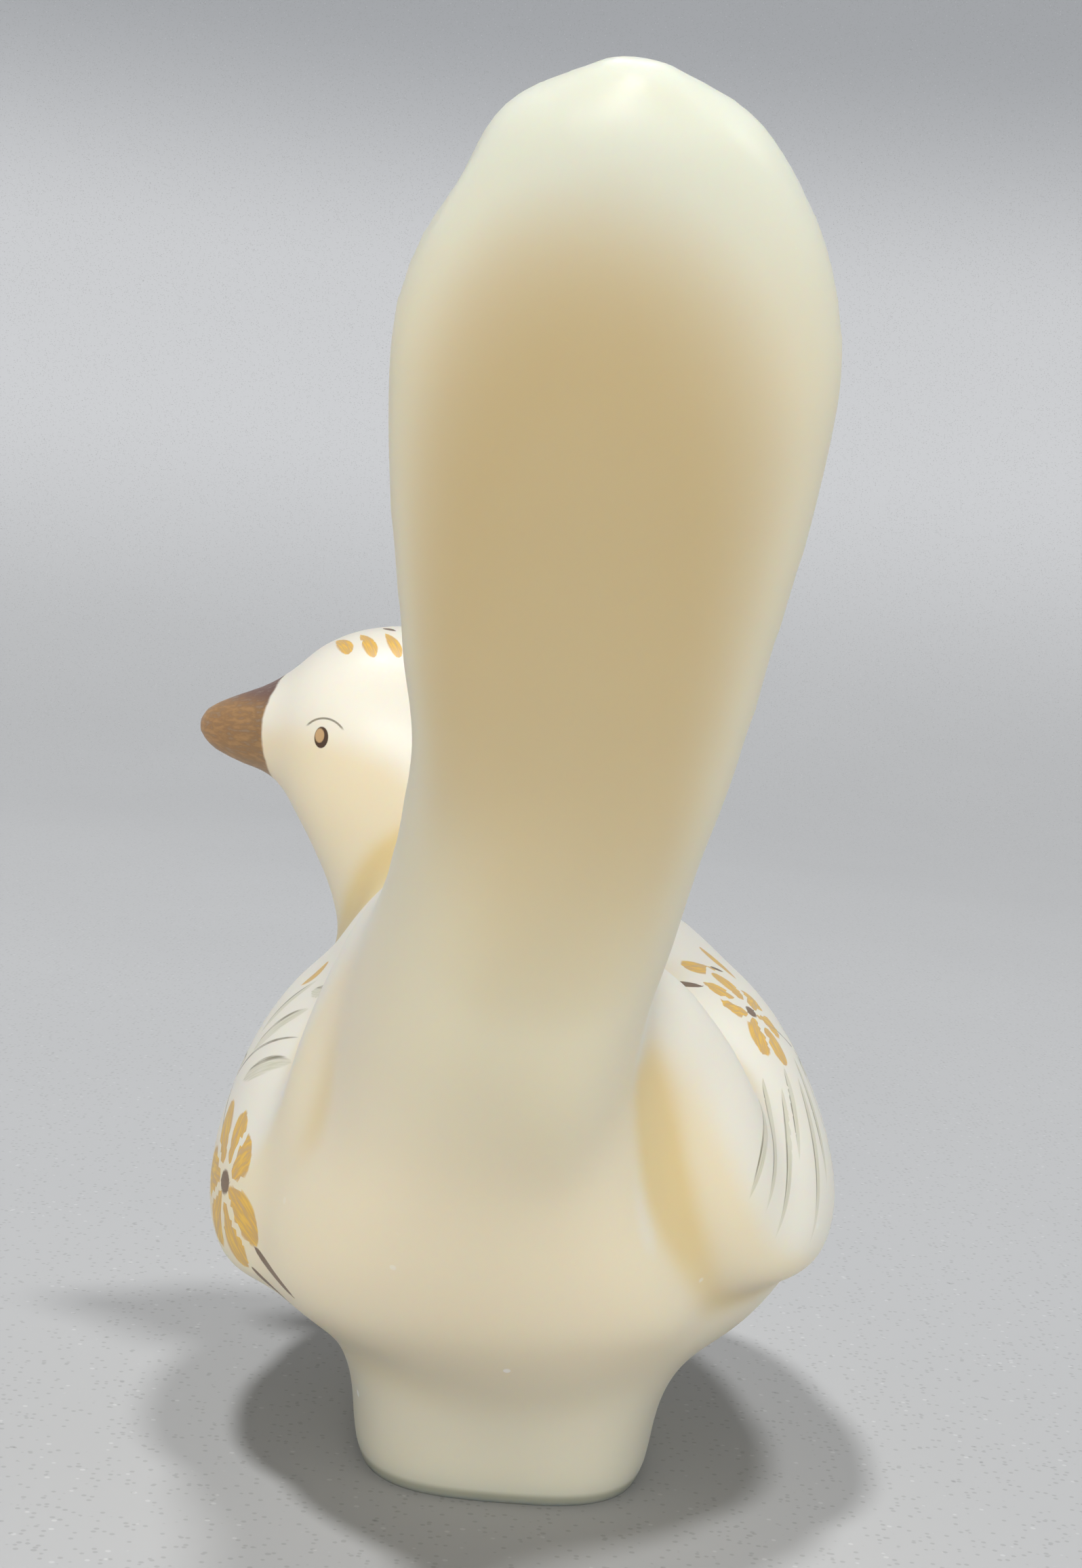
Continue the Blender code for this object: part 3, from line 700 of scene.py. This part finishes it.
def bird_skin():
    obj = bpy.data.objects.new("glass_bird", bpy.data.meshes.new("glass_bird"))
    bpy.context.scene.collection.objects.link(obj)
    run_together(obj, [trunk(), rump(), head(), nape(), foot()], BODY_BLEND, BODY_BLEND)
    run_together(obj, [shell_of(obj), whole_wing(1), whole_wing(-1)], WING_BLEND, WING_TOP_BLEND)
    skew_tip(obj)
    feather_grooves(obj)
    grind_foot(obj)
    obj.data.shade_smooth()
    obj.data.set_sharp_from_angle(angle=SHARP_EDGE)
    return obj


def spread_out(obj, values, rounds):
    """Values per vertex, each averaged with its neighbours' again and again."""
    edges = np.empty(len(obj.data.edges) * 2, int)
    obj.data.edges.foreach_get("vertices", edges)
    a, b = edges.reshape(-1, 2).T
    count = len(obj.data.vertices)
    neighbours = np.bincount(a, minlength=count) + np.bincount(b, minlength=count)
    for _ in range(rounds):
        total = np.bincount(a, values[b], count) + np.bincount(b, values[a], count)
        values = (values + total / neighbours) / 2
    return values


def store(obj, name, values):
    kind = "FLOAT" if values.ndim == 1 else "FLOAT_VECTOR"
    attribute = obj.data.attributes.new(name, kind, "POINT")
    attribute.data.foreach_set("value" if values.ndim == 1 else "vector", values.astype(np.float32).ravel())


def glass_depth(obj):
    """How much glass lies behind each vertex and how much lies above it, in metres."""
    tree = BVHTree.FromBMesh(shell_of(obj))

    def crossed(vertex, way):
        start = vertex.co - vertex.normal * RAY_START
        found = tree.ray_cast(start, way.normalized())[3]
        return DEEPEST if found is None else min(found, DEEPEST)

    behind, above = [], []
    for vertex in obj.data.vertices:
        ways = [crossed(vertex, Vector(lean) - vertex.normal) for lean in RAY_LEANS]
        behind.append(sum(ways) / len(ways))
        above.append(crossed(vertex, Vector(LIGHT_FROM)))
    return np.array(behind), np.array(above)


def hollows(obj):
    """How strongly the skin curves inwards at each vertex: 1 in a tight hollow, 0 where it bulges."""
    points, normals = coordinates(obj), coordinates(obj, "normal")
    smooth = np.column_stack([spread_out(obj, points[:, k], HOLLOW_ROUNDS) for k in range(3)])
    return np.clip(((smooth - points) * normals).sum(axis=1) / HOLLOW_FULL, 0, 1)


def wing_chart(points, hand):
    """Flat coordinates on one wing, back and up from its middle, unrolled from an egg that fits it."""
    egg = (points - np.array((hand * CHART_OUT, CHART_Y, CHART_Z))) / np.array(CHART_AXES)
    reach = np.linalg.norm(egg, axis=1)
    egg = egg / reach[:, None]
    angle = np.arccos(np.clip(egg[:, 0] * hand, -1, 1))
    rim = np.maximum(np.hypot(egg[:, 1], egg[:, 2]), 1e-6)
    back = angle * CHART_AXES[1] * egg[:, 1] / rim
    up = angle * CHART_AXES[2] * egg[:, 2] / rim
    on_wing = (points[:, 0] * hand > CHART_INNER) & (reach > CHART_SHELL[0]) & (reach < CHART_SHELL[1])
    return np.column_stack([back, up]), on_wing


def crown_chart(points):
    """Flat coordinates on the crown of the head, seen from above."""
    on_crown = (points[:, 2] > HEAD_TOP_Z - CROWN_DOWN * HEAD_RISE) & (points[:, 1] < NECK_Y + CROWN_BACK)
    return points[:, :2] - np.array((0, NECK_Y)), on_crown


def brush(start, end, half_width, bend=0.0):
    """One brush stroke in chart coordinates given in millimetres: its middle line and its half width."""
    start, end = np.array(start, float), np.array(end, float)
    aside = np.array((start[1] - end[1], end[0] - start[0]))
    middle = (start + end) / 2 + bend * aside
    t = np.linspace(0, 1, BRUSH_POINTS)[:, None]
    line = (1 - t) ** 2 * start + 2 * t * (1 - t) * middle + t**2 * end
    return line * MM, half_width * MM


def blossom(middle, petals, length, half_width, first):
    """Round-ended petals about a middle. Each is a little out of step, as a hand lays them."""
    strokes = []
    for i in range(petals):
        angle = math.radians(first + 360 * i / petals + PETAL_SWAY * math.sin(SWAY_STEP * i + middle[0]))
        reach = length * (1 + PETAL_UNEVEN * math.sin(REACH_STEP * i + middle[1]))
        toward = np.array((math.cos(angle), math.sin(angle)))
        start, end = middle + PETAL_START * toward, middle + reach * toward
        strokes.append(brush(start, end, half_width, PETAL_BEND * (-1) ** i))
    return strokes


def leaf_pair(root, toward, length, half_width):
    """Two leaves that part from one point of a stem."""
    strokes = []
    for turn in LEAF_TURNS:
        angle = math.radians(toward + turn)
        end = (root[0] + length * math.cos(angle), root[1] + length * math.sin(angle))
        strokes.append(brush(root, end, half_width, LEAF_BEND if turn < 0 else -LEAF_BEND))
    return strokes


def blades():
    """Long thin blades of grass that hang side by side from the upper flower of the right wing."""
    strokes = []
    for i in range(BLADES):
        back = BLADE_BACK + BLADE_APART * i
        top = BLADE_TOP - BLADE_STAGGER * (i % 2)
        fall = BLADE_FALL * (1 + BLADE_UNEVEN * math.sin(SWAY_STEP * i))
        end = (back + BLADE_LEAN, top - fall)
        strokes.append(brush((back, top), end, BLADE_HALF_WIDTH, BLADE_BEND))
    return strokes


def wing_painting(hand):
    """The strokes on one wing by kind. The two sprays differ, because they are painted freehand."""
    if hand < 0:
        petals = blossom((21, 17), 7, 8.0, 2.5, 15) + blossom((-5, -5), 6, 7.0, 2.1, 40)
        petals += [brush((13, 25), (23, 28), 1.9), brush((9, 21.5), (4, 28), 1.8)]
        leaves = leaf_pair((-17, -4), 25, 9, 1.7) + leaf_pair((3, 5), 40, 9, 1.6)
        leaves += blades()
        lines = [brush((-27, -9), (0, 4), 0.32, 0.1), brush((0, 4), (19, 15.5), 0.32, -0.06)]
        lines += [brush((0, 4), (-4, -4), 0.28, 0.1), brush((9, 9), (13, -9), 0.3, 0.15)]
        dabs = [brush((19.7, 17), (22.3, 17), 1.15), brush((-6.3, -5), (-3.7, -5), 1.1)]
        dabs += [brush((27, 24), (34, 26), 0.8, 0.1), brush((11, 24), (13.5, 25.6), 0.6)]
    else:
        petals = blossom((21, -9), 7, 7.6, 2.3, 25) + blossom((-6, 6), 6, 6.8, 2.1, 10)
        petals += [brush((29, 11), (34, 13), 1.5, 0.1), brush((11, 13), (15, 18), 1.8)]
        leaves = leaf_pair((-18, 5), -20, 9, 1.7) + leaf_pair((3, 0), -25, 8, 1.6)
        leaves += [brush((14, 3), (25, 12), 1.4, 0.1), brush((17, 0), (31, 5), 1.3, 0.1)]
        leaves += [brush((11, 5), (18, 16), 1.3, 0.1), brush((20, 14), (30, 17), 1.2, -0.1)]
        lines = [brush((-27, 8), (0, 1), 0.32, -0.1), brush((0, 1), (19, -7.5), 0.32, 0.06)]
        lines += [brush((0, 1), (-5, 5), 0.28, 0.1), brush((8, -2), (28, 8), 0.3, 0.12)]
        dabs = [brush((19.7, -9), (22.3, -9), 1.15), brush((-7.3, 6), (-4.7, 6), 1.1)]
        dabs += [brush((27, -14), (31, -18), 0.8, 0.1), brush((24, -16), (26, -20), 0.7)]
    return {"petals": petals, "leaves": leaves, "lines": lines, "dabs": dabs}


def crown_painting():
    """A few short strokes on the crown, over the brow."""
    petals = [brush((27.5, 1.0), (25.4, 6.0), 0.85), brush((24.6, 2.2), (22.4, 7.2), 0.85)]
    petals += [brush((21.6, 3.0), (19.4, 7.4), 0.75)]
    lines = [brush((29.5, -1.5), (25.0, -1.0), 0.3, 0.1)]
    dabs = [brush((22.0, 0.6), (20.6, 2.2), 0.4)]
    return {"petals": petals, "leaves": [], "lines": lines, "dabs": dabs}


def lay_strokes(found, flat, where, strokes):
    """Writes along, across and number of the nearest stroke for the vertices of one chart."""
    chosen = np.flatnonzero(where)
    spots = flat[chosen]
    best = np.full(len(chosen), FAR)
    first = found[:, 2].max() + 1
    for number, (line, half_width) in enumerate(strokes):
        near = np.flatnonzero(np.linalg.norm(spots - line.mean(axis=0), axis=1) < BRUSH_REACH)
        here = spots[near]
        nearest = np.full(len(near), FAR)
        along, side = np.zeros(len(near)), np.ones(len(near))
        for i in range(len(line) - 1):
            step = line[i + 1] - line[i]
            off = here - line[i]
            t = np.clip(off @ step / (step @ step), 0, 1)
            distance = np.linalg.norm(off - t[:, None] * step, axis=1)
            closer = distance < nearest
            nearest[closer] = distance[closer]
            along[closer] = (i + t[closer]) / (len(line) - 1)
            side[closer] = np.sign(step[0] * off[closer, 1] - step[1] * off[closer, 0])
        gap = nearest - half_width
        wins = gap < best[near]
        rows = chosen[near[wins]]
        best[near[wins]] = gap[wins]
        found[rows, 0] = along[wins]
        found[rows, 1] = (side * nearest / half_width)[wins]
        found[rows, 2] = first + number


def paint_layers(obj):
    """For each kind of stroke: along it, across it and a guard that is 0 where two strokes meet."""
    points = coordinates(obj)
    charts = [(wing_chart(points, hand), wing_painting(hand)) for hand in (1, -1)]
    charts.append((crown_chart(points), crown_painting()))
    corners, starts = np.empty(len(obj.data.loops), int), np.empty(len(obj.data.polygons), int)
    obj.data.loops.foreach_get("vertex_index", corners)
    obj.data.polygons.foreach_get("loop_start", starts)
    sizes = np.diff(np.append(starts, len(corners)))
    for kind in STROKE_SHAPES:
        found = np.zeros((len(points), 3))
        found[:, 1] = FAR_ACROSS
        for (flat, where), painting in charts:
            lay_strokes(found, flat, where, painting[kind])
        guard = np.ones(len(points))
        numbers = found[corners, 2]
        mixed = np.minimum.reduceat(numbers, starts) != np.maximum.reduceat(numbers, starts)
        guard[corners[np.repeat(mixed, sizes)]] = 0
        store(obj, kind, np.column_stack([found[:, 0], found[:, 1], guard]))


def head_places(obj):
    """Coordinates in millimetres along the turned head: ahead, aside and up."""
    points = coordinates(obj)
    ahead = np.array((math.sin(HEAD_TURN), -math.cos(HEAD_TURN)))
    flat = points[:, :2] - np.array((0, NECK_Y))
    places = np.column_stack([flat @ ahead, flat @ np.array((ahead[1], -ahead[0])), points[:, 2]]) / MM
    places[points[:, 1] > 0] = OFF_HEAD
    store(obj, "head", places)


class Nodes:
    """Short names for the nodes of one material."""

    def __init__(self, material):
        self.tree = material.node_tree
        self.shader = self.tree.nodes["Principled BSDF"]

    def put(self, socket, value):
        if isinstance(value, bpy.types.NodeSocket):
            self.tree.links.new(value, socket)
        else:
            socket.default_value = value

    def give(self, name, value):
        self.put(self.shader.inputs[name], value)

    def node(self, kind, **settings):
        made = self.tree.nodes.new(kind)
        for name, value in settings.items():
            setattr(made, name, value)
        return made

    def math(self, operation, a, b=0.0):
        made = self.node("ShaderNodeMath", operation=operation)
        self.put(made.inputs[0], a)
        self.put(made.inputs[1], b)
        return made.outputs[0]

    def times(self, a, b):
        return self.math("MULTIPLY", a, b)

    def minus(self, a, b):
        return self.math("SUBTRACT", a, b)

    def span(self, value, low, high, to_low=0.0, to_high=1.0):
        made = self.node("ShaderNodeMapRange", interpolation_type="SMOOTHSTEP")
        for socket, item in zip(made.inputs, (value, low, high, to_low, to_high)):
            self.put(socket, item)
        return made.outputs[0]

    def mix(self, share, a, b):
        made = self.node("ShaderNodeMix", data_type="RGBA")
        self.put(made.inputs[0], share)
        self.put(made.inputs[6], a)
        self.put(made.inputs[7], b)
        return made.outputs[2]

    def over(self, base, share, colour, strength=1.0):
        """A colour laid over the base, by the product of the share and the strength."""
        return self.mix(self.times(share, strength), base, colour)

    def stored(self, name, output="Fac"):
        return self.node("ShaderNodeAttribute", attribute_name=name).outputs[output]

    def parts(self, vector):
        made = self.node("ShaderNodeSeparateXYZ")
        self.put(made.inputs[0], vector)
        return made.outputs

    def vector(self, x, y, z):
        made = self.node("ShaderNodeCombineXYZ")
        for socket, item in zip(made.inputs, (x, y, z)):
            self.put(socket, item)
        return made.outputs[0]

    def place(self):
        return self.node("ShaderNodeTexCoord").outputs["Object"]

    def noise(self, scale, detail=2.0, vector=None):
        made = self.node("ShaderNodeTexNoise")
        self.put(made.inputs["Vector"], vector or self.place())
        self.put(made.inputs["Scale"], scale)
        self.put(made.inputs["Detail"], detail)
        return made.outputs["Fac"]

    def specks(self, scale, size, share):
        """Small round specks: 1 inside one. Only a share of the cells has one."""
        made = self.node("ShaderNodeTexVoronoi")
        self.put(made.inputs["Vector"], self.place())
        self.put(made.inputs["Scale"], scale)
        chosen = self.math("LESS_THAN", self.parts(made.outputs["Color"])[0], share)
        return self.times(self.span(made.outputs["Distance"], size, size * SPECK_FULL), chosen)


def stroke_mask(n, kind):
    """Where a kind of stroke covers the glass, and a streaky value that runs along it."""
    rise, fall, softness = STROKE_SHAPES[kind]
    along, across, guard = n.parts(n.stored(kind, "Vector"))
    top = (rise / (rise + fall)) ** rise * (fall / (rise + fall)) ** fall
    width = n.times(n.math("POWER", along, rise), n.math("POWER", n.minus(1, along), fall))
    run, spread = STREAK_STRETCH
    grain = n.vector(n.times(along, run), n.times(across, spread), 0.0)
    streaks = n.noise(STREAK_SCALE, STREAK_DETAIL, grain)
    ragged = n.times(n.minus(streaks, 0.5), RAGGED)
    inside = n.minus(n.times(width, 1 / top), n.math("ABSOLUTE", across))
    mask = n.span(n.math("ADD", inside, ragged), 0.0, softness)
    return n.times(mask, n.math("GREATER_THAN", guard, GUARD_LEVEL)), streaks


def painted(n, base):
    """The brushed decoration over the colour of the glass."""
    patchy = n.noise(PATCHES)
    mask, streaks = stroke_mask(n, "leaves")
    uneven = n.math("ADD", streaks, n.times(patchy, PATCH_SHARE))
    base = n.over(base, mask, LEAF, n.span(uneven, *LEAF_COVER))
    across = n.parts(n.stored("leaves", "Vector"))[1]
    rim = n.times(n.span(across, *LEAF_RIM), mask)
    base = n.over(base, rim, LINE, n.span(uneven, *LEAF_RIM_COVER))
    mask, _ = stroke_mask(n, "lines")
    base = n.over(base, mask, LINE, n.span(patchy, *LINE_COVER))
    mask, streaks = stroke_mask(n, "petals")
    gold = n.mix(n.span(streaks, *GOLD_STREAKS), GOLD_DARK, GOLD)
    base = n.over(base, mask, gold, n.span(streaks, *GOLD_COVER))
    mask, streaks = stroke_mask(n, "dabs")
    return n.over(base, mask, n.mix(streaks, BROWN_DARK, BROWN), DAB_COVER)


def beak_paint(n, base, ahead, aside, up):
    """The beak's paint, whose edge reaches further back above and below."""
    foremost, level, half_height = BEAK_PAINT
    fall, most = BEAK_HOLLOW
    from_middle = n.times(n.minus(up, level), 1 / half_height)
    drop = n.math("MINIMUM", n.times(n.times(from_middle, from_middle), fall), most)
    edge = n.minus(foremost, drop)
    wobble_scale, wobble_reach = BEAK_WOBBLE
    wobble = n.times(n.noise(wobble_scale), wobble_reach)
    mask = n.span(n.minus(n.math("ADD", ahead, wobble), edge), *BEAK_EDGE)
    run, rise = BEAK_STRETCH
    grain = n.vector(n.times(ahead, run), n.times(up, rise), aside)
    streaks = n.noise(BEAK_SCALE, STREAK_DETAIL, grain)
    beak = n.mix(n.span(streaks, *BEAK_STREAKS), BEAK_DARK, BEAK)
    beak = n.mix(n.span(up, *BEAK_RIDGE), beak, BEAK_TOP)
    return n.over(base, mask, beak, n.span(streaks, *BEAK_COVER))


def painted_head(n, base):
    """The paint of the beak, the eyes and the brows."""
    ahead, aside, up = n.parts(n.stored("head", "Vector"))
    base = beak_paint(n, base, ahead, aside, up)

    def oval(middle_ahead, middle_up, half_wide, half_high):
        """How far out a point lies, where 1 is on the oval."""
        x = n.times(n.minus(ahead, middle_ahead), 1 / half_wide)
        z = n.times(n.minus(up, middle_up), 1 / half_high)
        return n.math("SQRT", n.math("ADD", n.times(x, x), n.times(z, z)))

    # The eye's lighter middle is its tan fill and a painted glint
    eye = n.mix(n.span(oval(*EYE_MIDDLE), *EYE_MIDDLE_EDGE), BROWN_DARK, EYE_FILL_AND_GLINT)
    base = n.mix(n.span(oval(*EYE), *EYE_EDGE), base, eye)
    arc = n.math("ABSOLUTE", n.minus(oval(*BROW_MIDDLE, 1, 1), BROW_REACH))
    brow = n.times(n.span(arc, *BROW_EDGE), n.span(up, *BROW_LOW))
    return n.over(base, brow, LINE, BROW_COVER)


def satin_glass():
    material = bpy.data.materials.new("satin_custard_glass")
    material.use_nodes = True
    n = Nodes(material)
    behind = n.stored("behind")
    above = n.stored("above")
    hollow = n.stored("hollow")
    _, along, level = n.parts(n.place())
    deep = n.mix(n.noise(CREAM_CLOUDS, 1.0), CREAM, ROSY)
    # Painted light: ivory on the side towards the light, cream and rosy where much glass lies between a
    # point and the light
    base = n.mix(n.span(above, *CREAM_ABOVE), LIT_IVORY, deep)
    base = n.over(base, n.span(along, *TAIL_ALONG), TAIL_GLASS, TAIL_SHARE)
    base = n.over(base, n.span(level, *TIP_LEVEL), TIP)
    base = n.over(base, n.span(above, *TAN_ABOVE), TAN, n.span(behind, *TAN_BEHIND))
    # Painted glow in the hollows and creases
    base = n.over(base, n.span(hollow, *AMBER_HOLLOW), CREASE_GLOW_AMBER, AMBER_SHARE)
    # Painted shade: the foot greyer and darker towards the floor
    base = n.over(base, n.span(level, *FOOT_SHADE_LEVEL), FOOT_SHADE_GREY, FOOT_SHADE_SHARE)
    # Painted contact shadow along the foot's lower edge
    base = n.over(base, n.span(level, *CONTACT_SHADOW_LEVEL), CONTACT_SHADOW, CONTACT_SHADOW_SHARE)
    dust = n.times(n.specks(*DUST_SPECKS), n.span(level, *DUST_LEVEL))
    base = n.over(base, dust, DUST, DUST_SHARE)
    base = painted_head(n, painted(n, base))
    n.give("Base Color", base)
    n.give("Roughness", SATIN_ROUGHNESS)
    n.give("Subsurface Weight", 1.0)
    n.give("Subsurface Radius", SCATTER_COLOURS)
    n.give("Subsurface Scale", SCATTER_REACH)
    return material


def floor_material():
    material = bpy.data.materials.new("pale_floor")
    material.use_nodes = True
    n = Nodes(material)
    level = n.parts(n.place())[2]
    base = n.mix(n.noise(FLOOR_CLOUDS), FLOOR_DARKER, FLOOR_LIGHTER)
    # Painted light: the wall lighter low down and darker towards its top
    base = n.over(base, n.span(level, *LIT_WALL_LOW_LEVEL), LIT_WALL_LOW)
    base = n.over(base, n.span(level, *SHADED_WALL_TOP_LEVEL), SHADED_WALL_TOP)
    small, large = DARK_SPECKS
    dark = n.math("ADD", n.specks(*small), n.specks(*large))
    base = n.over(base, dark, DARK_SPECK, DARK_SHARE)
    base = n.over(base, n.specks(*LIGHT_SPECKS), LIGHT_SPECK, LIGHT_SHARE)
    n.give("Base Color", base)
    n.give("Roughness", FLOOR_ROUGHNESS)
    return material


def studio_floor():
    """A flat round floor whose rim curves up into a wall, so that every view has the same plain ground."""
    profile = [(FLOOR_FLAT, 0.0)]
    for i in range(1, FLOOR_BENDS + 1):
        angle = math.pi / 2 * i / FLOOR_BENDS
        profile.append((FLOOR_FLAT + FLOOR_CURVE * math.sin(angle), FLOOR_CURVE * (1 - math.cos(angle))))
    profile.append((FLOOR_FLAT + FLOOR_CURVE, WALL_TOP))
    bm = bmesh.new()
    middle = bm.verts.new((0, 0, 0))
    turns = [2 * math.pi * k / FLOOR_TURNS for k in range(FLOOR_TURNS)]
    loops = [[bm.verts.new((r * math.cos(a), r * math.sin(a), z)) for a in turns] for r, z in profile]
    for k in range(FLOOR_TURNS):
        j = (k + 1) % FLOOR_TURNS
        bm.faces.new((middle, loops[0][k], loops[0][j]))
        for low, high in zip(loops, loops[1:]):
            bm.faces.new((low[k], high[k], high[j], low[j]))
    bmesh.ops.recalc_face_normals(bm, faces=bm.faces)
    mesh = bpy.data.meshes.new("studio_floor")
    bm.to_mesh(mesh)
    mesh.shade_smooth()
    mesh.materials.append(floor_material())
    obj = bpy.data.objects.new("studio_floor", mesh)
    bpy.context.scene.collection.objects.link(obj)
    return obj


def soft_light(name, lit, place, size, watts, tint=(1, 1, 1)):
    """A round lamp for one object only, so that the bird's lamps don't wash out the floor's shadows."""
    light = bpy.data.lights.new(name, "AREA")
    light.shape = "DISK"
    light.size = size
    light.energy = watts
    light.color = tint
    obj = bpy.data.objects.new(name, light)
    obj.visible_camera = False
    obj.location = place
    obj.rotation_mode = "QUATERNION"
    obj.rotation_quaternion = (Vector(LIGHT_AIM) - Vector(place)).to_track_quat("-Z", "Y")
    bpy.context.scene.collection.objects.link(obj)
    receivers = bpy.data.collections.new(name + "_receivers")
    receivers.objects.link(lit)
    obj.light_linking.receiver_collection = receivers


def lights(bird, floor):
    for name, lit, watts in (("bird", bird, BIRD_WATTS), ("floor", floor, FLOOR_WATTS)):
        soft_light(name + "_left", lit, *CEILING_LEFT, watts[0])
        soft_light(name + "_right", lit, *CEILING_RIGHT, watts[1])
    soft_light("side", bird, *SIDE, SIDE_TINT)
    soft_light("fill", bird, *FILL)
    world = bpy.data.worlds.new("studio")
    world.use_nodes = True
    background = world.node_tree.nodes["Background"]
    background.inputs["Color"].default_value = WORLD_TINT
    background.inputs["Strength"].default_value = WORLD_STRENGTH
    bpy.context.scene.world = world


def camera():
    forward = Vector((-math.sin(CAMERA_ASIDE), -math.cos(CAMERA_ASIDE), 0)) * math.cos(CAMERA_DOWN)
    forward.z = -math.sin(CAMERA_DOWN)
    level = forward.cross(Vector((0, 0, 1))).normalized()
    upright = level.cross(forward)
    right = level * math.cos(CAMERA_ROLL) + upright * math.sin(CAMERA_ROLL)
    up = upright * math.cos(CAMERA_ROLL) - level * math.sin(CAMERA_ROLL)
    data = bpy.data.cameras.new("photo_view")
    data.lens = CAMERA_LENS
    data.sensor_width = CAMERA_SENSOR
    data.clip_start, data.clip_end = CAMERA_CLIP
    obj = bpy.data.objects.new("photo_view", data)
    turn = Matrix((right, up, -forward)).transposed().to_4x4()
    obj.matrix_world = Matrix.Translation(CAMERA) @ turn
    bpy.context.scene.collection.objects.link(obj)
    bpy.context.scene.camera = obj


def main():
    bird = bird_skin()
    behind, above = glass_depth(bird)
    store(bird, "behind", spread_out(bird, behind, BEHIND_SPREAD))
    store(bird, "above", spread_out(bird, above, SPREAD))
    store(bird, "hollow", spread_out(bird, hollows(bird), SPREAD))
    paint_layers(bird)
    head_places(bird)
    bird.data.materials.append(satin_glass())
    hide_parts("bird")
    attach(bird, "root")
    lights(bird, studio_floor())
    camera()
    bpy.context.scene.view_settings.view_transform = "Standard"


main()
